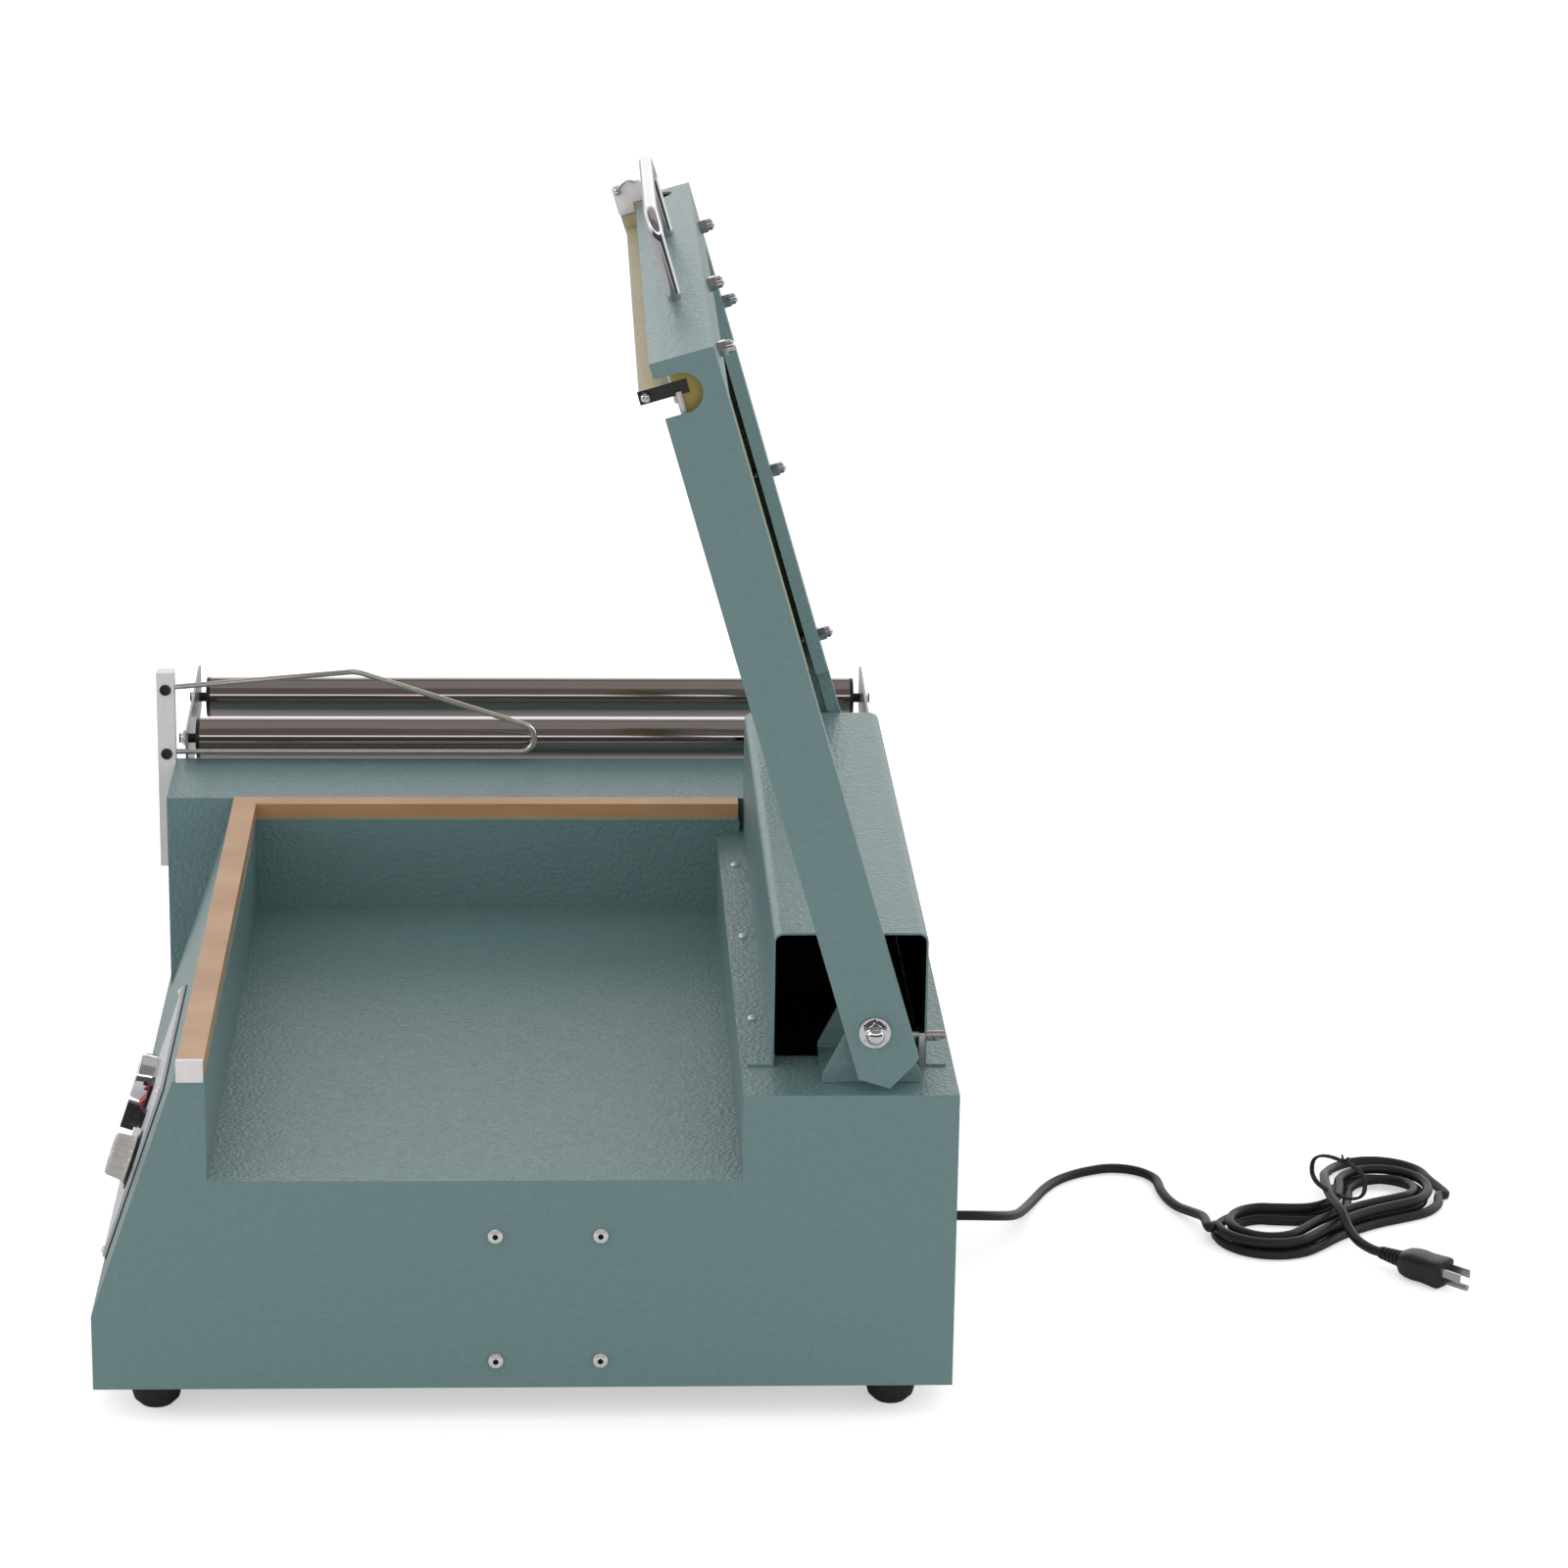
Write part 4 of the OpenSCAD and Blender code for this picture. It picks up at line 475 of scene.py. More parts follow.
def merged_copy(node):
    bm = bmesh.new()
    bm.from_mesh(nodes[node].data)
    bmesh.ops.remove_doubles(bm, verts=bm.verts, dist=2e-6)
    bmesh.ops.dissolve_limit(bm, angle_limit=math.radians(0.6), verts=bm.verts, edges=bm.edges)
    bmesh.ops.recalc_face_normals(bm, faces=bm.faces)
    return bm


def rounded(node, width, material, segments=2, limit=38):
    mesh = as_mesh(merged_copy(node), node + "_rounded")
    mesh.shade_smooth()
    mesh = settled(mesh, ("BEVEL", dict(width=width * MM, segments=segments, limit_method="ANGLE",
                                        angle_limit=math.radians(limit), use_clamp_overlap=True,
                                        miter_outer="MITER_ARC")),
                   ("WEIGHTED_NORMAL", dict(mode="FACE_AREA", weight=100, keep_sharp=False)))
    o = piece(node + "_finished", mesh, material, body_of_node[node], [node], shade=False)
    print(node, len(mesh.polygons), "faces")
    return o


def dress(material, *names):
    for name in names:
        for s in nodes[name].material_slots:
            s.material = material
    print(material.name, "on", *names)


# %% [markdown]
# ## Folded sheet and cast blocks
# The casing, cover, jaw, brackets and plates keep their CAD shapes with rounded edges. The width of the round
# follows the real edge: about 1 mm where sheet is folded, a few tenths where metal is sawn or turned. Small or
# hidden pieces keep the CAD mesh and only take a finish.

# %% Rounded edges
for names, width, material, slot in (
        ("body_shell", 0.9, paint, "paint"),
        ("jaw_frame", 0.8, paint, "paint"),
        ("hinge_brackets", 0.6, paint, "paint"),
        ("roller_plates", 0.5, plate_metal, "aluminium"),
        ("control_panel", 0.4, panel_metal, "panel_plate"),
        ("guide_bar", 0.7, guide_metal, "aluminium"),
        ("seal_base", 0.4, aluminium, "aluminium"),
        ("front_carrier side_carrier", 0.4, fibre, "fibre"),
        ("front_blade side_blade", 0.5, blade_board, "blade"),
        ("rubber_feet", 0.6, rubber, "rubber"),
        ("rocker_housing", 0.4, black_plastic, "black_plastic"),
        ("rocker", 0.4, red_plastic, "red_plastic"),
        # The casing screws' second finish is painted shade in their sockets
        ("casing_screws", 0.2, [bright_zinc, socket_shade_dark], "chrome"),
        ("pivot_washers", 0.2, chrome, "chrome"),
        ("front_bolts side_bolts", 0.25, handle_chrome, "chrome"),
        ("handle", 0.1, handle_chrome, "chrome"),
        ("handle_screws", 0.2, handle_chrome, "chrome"),
        ("roller_near_caps roller_far_caps", 0.3, black_plastic, "black_plastic"),
        ("roller_near roller_far", 0.3, roller_steel, "roller_steel"),
        ("guide_wire", 0.05, bright_wire, "bare_steel"),
        ("seal_tape", 0.15, tape, "tape"),
        ("front_rail side_rail", 0.3, aluminium, "aluminium"),
        # Black steel on the near terminals is a painted dark reflection; the far terminals are chrome
        ("front_terminals", 0.5, black_steel, "black_steel"),
        ("side_terminals", 0.2, chrome, "bare_steel")):
    for name in names.split():
        rounded(name, width, material)

# %% Hinge cover, with painted shade inside
cover = rounded("hinge_cover", 0.7, [paint, cover_shade_black])
cover_front, cover_rear, front_wall, rear_wall = (at(0, y, 0).y for y in (160, 295, 197.25, 257.25))
over_flange, cover_top = at(0, 0, 222).z, at(0, 0, 315).z
# Faces that look into the cover take the near black as painted shade
for face in cover.data.polygons:
    c, n = face.center, face.normal
    shade_facing_in = n.z < -0.3 or (n.y > 0.3 and c.y < front_wall) or (n.y < -0.3 and c.y > rear_wall)
    if shade_facing_in and cover_front < c.y < cover_rear and over_flange < c.z < cover_top:
        face.material_index = 1
print("black faces", sum(face.material_index for face in cover.data.polygons))

# %% Painted shade in the sockets of the casing's button screws
screw_middles = [at(0, y, z) for y in (-20, 53) for z in (20.7, 114.6)]
near_face, socket_r = at(1.4, 0, 0).x, 2.2 * MM
screw_faces = bpy.data.objects["casing_screws_finished"].data.polygons
for face in screw_faces:
    c = face.center
    if c.x > near_face and any(math.hypot(c.y - p.y, c.z - p.z) < socket_r for p in screw_middles):
        face.material_index = 1
print("dark faces", sum(face.material_index for face in screw_faces))

# %% Pieces that only take a finish
dress(paint, "bottom_plate")
dress(chrome, "hinge_shaft")
dress(zinc, "adjusting_bolts", "spring_collars", "front_wire", "side_wire", "plug_pins")
dress(black_plastic, "selector_switch", "timer_unit", "roller_axles")
dress(silicone, "silicone_pad")
dress(bronze, "hinge_bushes")
dress(iron, "transformer")

# %% [markdown]
# ## The cord
# It leaves the relief at the back, drops to the floor, turns and goes to a hank wound in a figure of eight,
# then runs over the hank to its plug. It could be a tube in mesh code, but a curve keeps its length and
# thickness as numbers that can be measured. Its points are those of the drawing's route, so it lies where the
# solid lies.

# %% The cord's line
cord_r, floor_up = 3.75, 25
hank_mid, hank_long, hank_wide = (-350, 628), (-0.6, 0.8), (0.8, 0.6)


def smooth_line(points, steps=4):
    line = []
    closed = [points[0]] + list(points) + [points[-1]]
    for a, b, c, d in zip(closed, closed[1:], closed[2:], closed[3:]):
        a, b, c, d = (Vector(p) for p in (a, b, c, d))
        for k in range(steps):
            t = k / steps
            line.append(0.5 * ((2 * b) + (c - a) * t + (2 * a - 5 * b + 4 * c - d) * t * t
                               + (3 * b - a - 3 * c + d) * t ** 3))
    return line + [Vector(points[-1])]


def hank_line(lobe=62, drop=-12, small=26, step=12.5, layer=8.6, per_turn=28, innermost=41, outward=55):
    def waist(off):
        return (lobe ** 2 + off ** 2 - small ** 2) / (2 * (small - off))
    near_r, far_r = waist(18), waist(-6)
    near_y, far_y = near_r + 6, far_r + 6
    near_a = math.degrees(math.atan2(near_y + 12, lobe))
    far_a = math.degrees(math.atan2(far_y - 12, lobe))
    arcs = [((-lobe, drop), small, 1, 360 - far_a, near_a + far_a - 360, 11, 0),
            ((0, near_y), near_r, -1, near_a - 180, 180 - 2 * near_a, 3, 11),
            ((lobe, drop), small, 1, 180 - near_a, near_a + far_a - 360, 11, 14),
            ((0, -far_y), far_r, -1, far_a, 180 - 2 * far_a, 3, 25)]
    line = []
    for i in range(5, 102):
        ring = i % per_turn
        centre, r, sign, start, sweep, rings, first = next(a for a in reversed(arcs) if ring >= a[6])
        off = step / per_turn * (max(innermost - i, 0) + max(i - outward, 0))
        fallen = min(max((i - innermost) / (outward - innermost), 0), 1)
        a = math.radians(start + sweep * (ring - first) / rings)
        ring_r = r + sign * off
        along, aside = centre[0] + ring_r * math.cos(a), centre[1] + ring_r * math.sin(a)
        x, y = (m + along * u + aside * v for m, u, v in zip(hank_mid, hank_long, hank_wide))
        line.append(Vector((x, y, cord_r + layer * ((1 + math.cos(math.pi * fallen)) / 2))))
    return line


hank = hank_line()
first_route = [(-290, 320, 33), (-290, 333, 33), (-293, 347, 31.5), (-301, 359.5, 28), (-314.5, 369.5, 22.5),
               (-332, 377, 16.5), (-352, 383, 11), (-373, 389.5, 6.5), (-393, 397, 4.2), (-413, 406),
               (-431, 418), (-445, 434), (-454.6, 452.6), (-457, 464.2), (-455.2, 475.9), (-449.4, 486.1),
               (-440.3, 493.7), (-429.2, 497.6), (-410, 498.5), (-391, 502), (-374, 508, 4.5),
               (-357, 515.5, 7.5), (-338, 522.5, 11)]
last_route = [(-430, 715), (-449.2, 710.2), (-464, 696.9), (-470.8, 678.3), (-468, 658.6), (-456.4, 642.6),
              (-440.6, 634.4, 6), (-421, 629.5, 12.5), (-401, 626, 19), (-381, 623.5, 21.5), (-361, 623, 22),
              (-341, 624.5, 22), (-322, 627.5, 21), (-304, 630, 15.5), (-288, 634.5, 12), (-273.7, 642.3, 11),
              (-268, 648, 11)]
# A point of a route without a height lies on the floor
first_route, last_route = ([(*p, cord_r)[:3] for p in route] for route in (first_route, last_route))
print("hank", [round(v, 1) for v in hank[0]], [round(v, 1) for v in hank[-1]], len(hank), "points")

# %% The cord as a curve
heading = Vector((*hank_long, 0)) * 7.5
whole = smooth_line(first_route + [hank[0] - heading] + hank + [hank[-1] + heading] + last_route)
cord_points = [at(p.x, p.y, p.z - floor_up) for p in whole]
curve = bpy.data.curves.new("cord", "CURVE")
curve.dimensions = "3D"
spline = curve.splines.new("POLY")
spline.points.add(len(cord_points) - 1)
for target, p in zip(spline.points, cord_points):
    target.co = (*p, 1)
curve.bevel_depth, curve.bevel_resolution, curve.use_fill_caps = cord_r * MM, 4, True
curve.materials.append(cord_skin)
cord = bpy.data.objects.new("cord", curve)
bpy.context.scene.collection.objects.link(cord)
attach(cord, "base")
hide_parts("mains_cord", "cord_hank")

# %% [markdown]
# ## Relief and plug
# The relief is a rubber sleeve with slots that tapers away from the casing, so the cord can't kink at the wall.
# It is round, so it is turned from a profile. The plug is a three-pin moulding with a ribbed neck. It is round
# at the neck and nearly square at the grip, so it is a skin over sections whose corners fill out on the way.

# %% Strain relief
rib_pitch, root_r, taper = 2.7, 7.4, 0.42
ribs = [(0, 0), (7.5, 0), (9.6, 0.2), (9.8, 1.6), (7.8, 2.4)]
for k in range(7):
    z, r = 3.4 + rib_pitch * k, root_r - taper * k
    ribs += [(r, z), (r, z + 1.5), (r - 0.75, z + 1.7), (r - 0.75, z + 2.5)]
ribs += [(4.5, 22.6), (4.4, 23.2), (3.78, 23.5), (0, 23.5)]
bm = bmesh.new()
pour(bm, turned(ribs, 40), aimed(at(-290, 296.5, 8), Y))
relief_piece = piece("relief_sleeve", bm, rubber, "base", ["strain_relief"])
print("relief", ribs[-1][1], "mm long")

# %% Plug with its neck
plug_at = at(-268, 648, 11 - floor_up)
plug_way = Vector((math.cos(math.radians(45)), math.sin(math.radians(45)), 0))
plug_side = Vector((-plug_way.y, plug_way.x, 0))


def plug_section(along, wide, high, square, count=32):
    ring = []
    for i in range(count):
        t = math.tau * i / count
        c, s = math.cos(t), math.sin(t)
        k = 2 / square
        ring.append(plug_at + plug_way * along * MM + plug_side * wide / 2 * MM * math.copysign(abs(c) ** k, c)
                    + Z * high / 2 * MM * math.copysign(abs(s) ** k, s))
    return ring


sections = [(0.2, 8.2, 8.2, 2), (1.2, 9.2, 9.2, 2)]
for k in range(5):
    z, w = 2.0 + 3.8 * k, 9.8 + 0.7 * k
    sections += [(z, w, w, 2), (z + 2.2, w + 0.3, w + 0.3, 2), (z + 2.5, w - 1.3, w - 1.3, 2),
                 (z + 3.5, w - 1.2, w - 1.2, 2)]
sections += [(21, 13.4, 13.2, 2.2), (22, 17, 15.5, 2.8), (25, 21.5, 18.5, 3.4), (30, 23.4, 20.2, 4),
             (36, 23.8, 20.8, 4.4), (44, 22.6, 20.2, 4.4), (50, 23.0, 20.6, 4.6), (56, 23.9, 21, 5),
             (59, 23.9, 21, 5), (59.9, 23.1, 20.2, 5), (60, 22.0, 19.0, 5)]
plug_piece = piece("plug_moulding", skinned([plug_section(*s) for s in sections]), black_plastic, "base",
                   ["plug_body"], angle=30)
print("plug of", len(sections), "sections")

# %% [markdown]
# ## What repeats
# Two node trees grow the repeated forms. One winds a coil of any length, which makes springs and screw threads.
# The other sets a small piece on marked points, faces it outwards and gives it its own turn, which makes the
# screw heads, the axle nuts and the ticks. Copies made by hand would do for four screws, but a tree takes any
# number and any size. Their results become plain meshes.


# %% Two node trees
def new_tree(name, *inputs):
    tree = bpy.data.node_groups.new(name, "GeometryNodeTree")
    tree.interface.new_socket("Geometry", in_out="INPUT", socket_type="NodeSocketGeometry")
    for label, kind, value in inputs:
        socket = tree.interface.new_socket(label, in_out="INPUT", socket_type=kind)
        if value is not None:
            socket.default_value = value
    tree.interface.new_socket("Geometry", in_out="OUTPUT", socket_type="NodeSocketGeometry")
    return tree, tree.nodes.new("NodeGroupInput"), tree.nodes.new("NodeGroupOutput")


coil_tree, given, result = new_tree("coil", ("Turns", "NodeSocketFloat", 6.0),
                                    ("Radius", "NodeSocketFloat", 0.01),
                                    ("Length", "NodeSocketFloat", 0.03), ("Wire", "NodeSocketFloat", 0.001),
                                    ("Sides", "NodeSocketInt", 8), ("Finish", "NodeSocketMaterial", None))
spiral, tube, ring, smooth, coat = (coil_tree.nodes.new("GeometryNode" + k) for k in (
    "CurveSpiral", "CurveToMesh", "CurvePrimitiveCircle", "SetShadeSmooth", "SetMaterial"))
spiral.inputs["Resolution"].default_value = 20
tube.inputs["Fill Caps"].default_value = True
chain(coil_tree, (given.outputs["Turns"], spiral.inputs["Rotations"]),
      (given.outputs["Radius"], spiral.inputs["Start Radius"]),
      (given.outputs["Radius"], spiral.inputs["End Radius"]), (given.outputs["Length"], spiral.inputs["Height"]),
      (given.outputs["Wire"], ring.inputs["Radius"]), (given.outputs["Sides"], ring.inputs["Resolution"]),
      (spiral.outputs[0], tube.inputs["Curve"]), (ring.outputs[0], tube.inputs["Profile Curve"]),
      (tube.outputs[0], smooth.inputs["Geometry"]), (smooth.outputs[0], coat.inputs["Geometry"]),
      (given.outputs["Finish"], coat.inputs["Material"]), (coat.outputs[0], result.inputs["Geometry"]))

row_tree, given, result = new_tree("row", ("Piece", "NodeSocketObject", None), ("Turn", "NodeSocketFloat", 6.28),
                                   ("Seed", "NodeSocketInt", 3), ("Finish", "NodeSocketMaterial", None))
what, put, align, spin, about, chance, facing, join, coat = (row_tree.nodes.new(k) for k in (
    "GeometryNodeObjectInfo", "GeometryNodeInstanceOnPoints", "FunctionNodeAlignRotationToVector",
    "FunctionNodeRotateRotation", "FunctionNodeAxisAngleToRotation", "FunctionNodeRandomValue",
    "GeometryNodeInputNamedAttribute", "GeometryNodeRealizeInstances", "GeometryNodeSetMaterial"))
align.axis, spin.rotation_space, facing.data_type = "Z", "LOCAL", "FLOAT_VECTOR"
facing.inputs["Name"].default_value = "facing"
own_turn = row_tree.nodes.new("GeometryNodeInputNamedAttribute")
both_turns = row_tree.nodes.new("ShaderNodeMath")
own_turn.data_type, both_turns.operation = "FLOAT", "ADD"
own_turn.inputs["Name"].default_value = "own_turn"
chain(row_tree, (given.outputs["Piece"], what.inputs["Object"]),
      (given.outputs["Geometry"], put.inputs["Points"]), (what.outputs["Geometry"], put.inputs["Instance"]),
      (facing.outputs["Attribute"], align.inputs["Vector"]), (given.outputs["Turn"], chance.inputs[3]),
      (given.outputs["Seed"], chance.inputs["Seed"]), (chance.outputs[1], both_turns.inputs[0]),
      (own_turn.outputs["Attribute"], both_turns.inputs[1]), (both_turns.outputs[0], about.inputs["Angle"]),
      (align.outputs[0], spin.inputs["Rotation"]), (about.outputs[0], spin.inputs["Rotate By"]),
      (spin.outputs[0], put.inputs["Rotation"]), (put.outputs[0], join.inputs["Geometry"]),
      (join.outputs[0], coat.inputs["Geometry"]), (given.outputs["Finish"], coat.inputs["Material"]),
      (coat.outputs[0], result.inputs["Geometry"]))


def grown(tree, mesh, **values):
    holder = bpy.data.objects.new("holder", mesh)
    bpy.context.scene.collection.objects.link(holder)
    grow = holder.modifiers.new("grow", "NODES")
    grow.node_group = tree
    for item in tree.interface.items_tree:
        if item.in_out == "INPUT" and item.name in values:
            grow[item.identifier] = values[item.name]
    return plain_mesh(holder)


def coil(turns, radius, length, wire, sides=8):
    return grown(coil_tree, bpy.data.meshes.new("seed"), Turns=float(turns), Radius=radius * MM,
                 Length=length * MM, Wire=wire * MM, Sides=sides, Finish=zinc)


def row(mesh, marks, turn=0.0, seed=3):
    points = bpy.data.meshes.new("marks")
    points.from_pydata([tuple(m[0]) for m in marks], [], [])
    facings = points.attributes.new("facing", "FLOAT_VECTOR", "POINT").data
    for item, mark in zip(facings, marks):
        item.vector = mark[1]
    own_turns = points.attributes.new("own_turn", "FLOAT", "POINT").data
    for item, mark in zip(own_turns, marks):
        item.value = mark[2] if len(mark) > 2 else 0.0
    source = bpy.data.objects.new("source", mesh)
    bpy.context.scene.collection.objects.link(source)
    plain = grown(row_tree, points, Piece=source, Turn=float(turn), Seed=seed, Finish=zinc)
    bpy.data.objects.remove(source)
    return plain


print("trees", [t.name for t in bpy.data.node_groups])

# %% [markdown]
# ## Springs and threads
# The return springs are wound from heavy wire round the hinge. Each sealing board hangs on three studs with a
# small spring between board and frame. Rings stacked on each other would look right from afar, but only a
# spiral has the slope of real wire. A fine coil of four-sided wire laid on a bolt reads as its thread.

# %% Return springs round the hinge
coil_start, coil_long, coil_r, heavy_wire = 4, 112, 12, 2
leg = turned([(0, 44), (1.4, 43.8), (2, 43), (2, 0), (0, 0)], 12)
bm = bmesh.new()
for x in (-225.7, -518.3):
    start = x + coil_start
    pour(bm, coil(21, coil_r, coil_long, heavy_wire, 10), aimed(at(start, *hinge_line), X))
    for end in (start, start + coil_long):
        pour(bm, leg, aimed(at(end, 252.4, 262), -Z))
piece("return_coils", bm, spring_steel, "base", ["return_springs"])
print("return springs", coil_long, "mm long")

# %% Small springs on the studs of the boards
front_studs = [(-84.8, 472), (-305.9, 472), (-530, 472)]
side_studs = [(-595, 118.1), (-595, 257.8), (-595, 398.5)]
board_back, light_wire = -11.0, 0.9
for name, studs in (("front", front_studs), ("side", side_studs)):
    bm = bmesh.new()
    for x, u in studs:
        pour(bm, coil(4.5, 4.4, 10.4, light_wire), aimed(on_jaw(x, u, board_back), -jaw_down))
    coils = piece(name + "_coils", bm, spring_steel, "jaw", [name + "_springs"])
    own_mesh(coils)
    print(name, len(studs), "springs")

# %% Threads on the adjusting bolts
thread_r, thread_long, ridge = 3.0, 19.5, 0.42
bm = bmesh.new()
for x in (-60, -583):
    pour(bm, coil(19, thread_r, thread_long, ridge, 4), aimed(at(x, 270.5, 238.6), Y))
piece("bolt_threads", bm, zinc, "base")
print("threads", thread_long, "mm long")

# %% [markdown]
# ## Dark sheet of painted shade under the hinge cover
# Below the open end of the cover the photograph shows black, where the casing would show paint. The real ledge
# may be cut out there. A CAD piece isn't cut in this file, so a thin black sheet lies on the ledge, inside the
# cover's walls, as painted shade. It is one outline with round corners, skinned from its lower to its upper
# face.

# %% Sheet of painted shade on the ledge
ledge_top, sheet_thick, corner_r = 217.62, 0.4, 6
outline = []
for x, y, start in ((-84, 272, 0), (-569, 272, 90), (-569, 181, 180), (-84, 181, 270)):
    for a in (math.radians(start + 22.5 * k) for k in range(5)):
        outline.append((x + corner_r * math.cos(a), y + corner_r * math.sin(a)))
bm = skinned([[at(x, y, z) for x, y in outline] for z in (ledge_top, ledge_top + sheet_thick)])
piece("cover_floor_sheet", bm, cover_shade_black, "base")
print("floor sheet", len(outline), "points round")

# %% [markdown]
# ## Pan heads
# Screws with pan heads and a cross recess hold the cover and the panel. One head is turned from its profile and
# the cross is cut out of it, which gives crisp inner edges that bump can't. The row tree then sets it on every
# screw with a turn of its own, because nobody stops a screwdriver at the same angle twice.

# %% One head with its cross
pan_head = turned([(0, 2.5), (1.3, 2.42), (2.4, 2.05), (3.1, 1.35), (3.45, 0.5), (3.5, 0), (0, 0)], 32)
cross = bmesh.new()
for turn in (0, 90):
    slab(cross, Matrix.Rotation(math.radians(turn), 4, "Z") @ Matrix.Translation((0, 0, 2.3 * MM)), 0.7, 3.6, 2)
cutter = bpy.data.objects.new("cross", as_mesh(cross, "cross"))
bpy.context.scene.collection.objects.link(cutter)
pan_head = settled(pan_head, ("BOOLEAN", dict(object=cutter, operation="DIFFERENCE", solver="EXACT",
                                              use_self=True)))
bpy.data.objects.remove(cutter)
print("pan head", len(pan_head.polygons), "faces")


# %% Heads on the cover and the panel
def resized(mesh, share):
    copy = mesh.copy()
    copy.transform(Matrix.Diagonal((share, share, share, 1)))
    return copy


flange_top, panel_thick = 219.05, 3
cover_marks = [(at(x, 162.5, flange_top), Z) for x in (-150, -329, -501)]
piece("cover_heads", row(pan_head, cover_marks, 6.28, 5), bright_zinc, "base", ["cover_screws"])
panel_marks = [(on_slant(x, u, panel_thick), slant_out) for x in (-82, -288) for u in (16, 142)]
piece("panel_heads", row(resized(pan_head, 0.85), panel_marks, 6.28, 8), bright_zinc, "base",
      ["panel_screws"])
print(len(cover_marks), "heads on the cover,", len(panel_marks), "on the panel")

# %% [markdown]
# ## Trim of the strip and guide bar, painted shadow round the panel
# The sealing strip ends in an L of thin aluminium, a thin dark frame under the panel's edge is painted shadow of
# the gap round it, and two socket screws hold the guide bar. Flat trim is boxes with a small round. The screws
# are turned, with the hexagon left as a round hole, because at this size its corners don't show.

# %% End cap of the sealing strip
bm = bmesh.new()
for x0, x1, z0, z1 in ((0, 1.2, 228.6, 243.9), (-5, 0.6, 243.15, 243.9)):
    middle = Matrix.Translation(at((x0 + x1) / 2, -228, (z0 + z1) / 2))
    slab(bm, middle, x1 - x0, 18.8, z1 - z0)
cap = settled(as_mesh(bm, "cap"), ("BEVEL", dict(width=0.3 * MM, segments=2, limit_method="ANGLE")))
piece("seal_end_cap", cap, guide_metal, "base")
print("end cap", len(cap.polygons), "faces")

# %% Painted shadow round the control panel
left, right_end, foot, head, band, gap_shadow_thick = -293, -77, 11.1, 146.9, 6, 0.9
bm = bmesh.new()
for x0, x1, u0, u1 in ((left, left + band, foot, head), (right_end - band, right_end, foot, head),
                       (left + band, right_end - band, foot, foot + band),
                       (left + band, right_end - band, head - band, head)):
    middle = aimed(on_slant((x0 + x1) / 2, (u0 + u1) / 2, gap_shadow_thick / 2), slant_out)
    slab(bm, middle, x1 - x0, u1 - u0, gap_shadow_thick)
# A dark frame under the panel's edge: painted shadow of the gap between panel and casing
piece("panel_gasket", bm, rubber, "base")
print("gasket", right_end - left, "mm long")

# %% Set screws in the guide bar
socket_screw = turned([(0, 0.2), (2.3, 0.2), (2.6, 1.5), (3.9, 1.7), (4.5, 1.3), (4.7, 0.4), (4.7, 0), (0, 0)])
bm = bmesh.new()
for z in (250, 304.5):
    pour(bm, socket_screw, aimed(at(-699.6, -298.25, z), X))
piece("bar_set_screws", bm, black_steel, "base", ["guide_bar_screws"])

# %% [markdown]
# ## Indicator and pointer knob
# The indicator is a chromed ring round a dark window, both turned. The pointer knob keeps its CAD shape, made a
# little smaller about its own foot and rounded like moulded plastic, with a pale line that shows where it
# points.

# %% Round indicator
bezel = turned([(17.7, 3), (17.8, 4.2), (17.5, 9.5), (17.0, 14.5), (16.2, 16), (15.2, 16.4), (14.2, 15.8),
                (13.7, 13.4), (13.6, 12.2)], 64)
window = turned([(13.7, 12.6), (13.3, 12.9), (8, 13.3), (0, 13.5)], 48)
for name, part, material, slot, node in (("indicator_ring", bezel, chrome, "chrome", "indicator_bezel"),
                                         ("indicator_window", window, lens_glass, "lens", "indicator_lens")):
    bm = bmesh.new()
    pour(bm, part, aimed(on_slant(-235, 90), slant_out))
    piece(name, bm, material, "base", [node])
print("indicator", len(bezel.polygons) + len(window.polygons), "faces")

# %% Pointer knob of the selector
selector_x, selector_u = -170, 84
knob_foot = aimed(on_slant(selector_x, selector_u, 5.8), slant_out)
bm = merged_copy("selector_knob")
bm.transform(knob_foot @ Matrix.Diagonal((0.86, 0.84, 0.8, 1)) @ knob_foot.inverted())
knob_mesh = as_mesh(bm, "pointer")
knob_mesh.shade_smooth()
knob_mesh = settled(knob_mesh, ("BEVEL", dict(width=0.5 * MM, segments=2, limit_method="ANGLE",
                                              angle_limit=math.radians(38))),
                    ("WEIGHTED_NORMAL", dict(weight=100)))
bm = bmesh.new()
pour(bm, knob_mesh)
slab(bm, aimed(on_slant(selector_x, selector_u + 7.6, 17.9), slant_out), 0.9, 5, 0.3)
pointer = piece("selector_pointer", bm, [black_plastic, bright_zinc], "selector_knob",
                ["selector_knob"], angle=30)
line_faces = list(pointer.data.polygons)[-6:]
for face in line_faces:
    face.material_index = 1
print("pointer", len(pointer.data.polygons), "faces,", len(line_faces), "on its line")

# %% [markdown]
# ## Acorn nuts
# A nut with a domed cap closes each end of the hinge shaft and of the roller axles. It could be a dome joined
# to a hexagon, but then the chamfer between them is lost. Here every ring of the skin is a mix of hexagon and
# circle, so the six flats run out under the chamfer and into the dome.


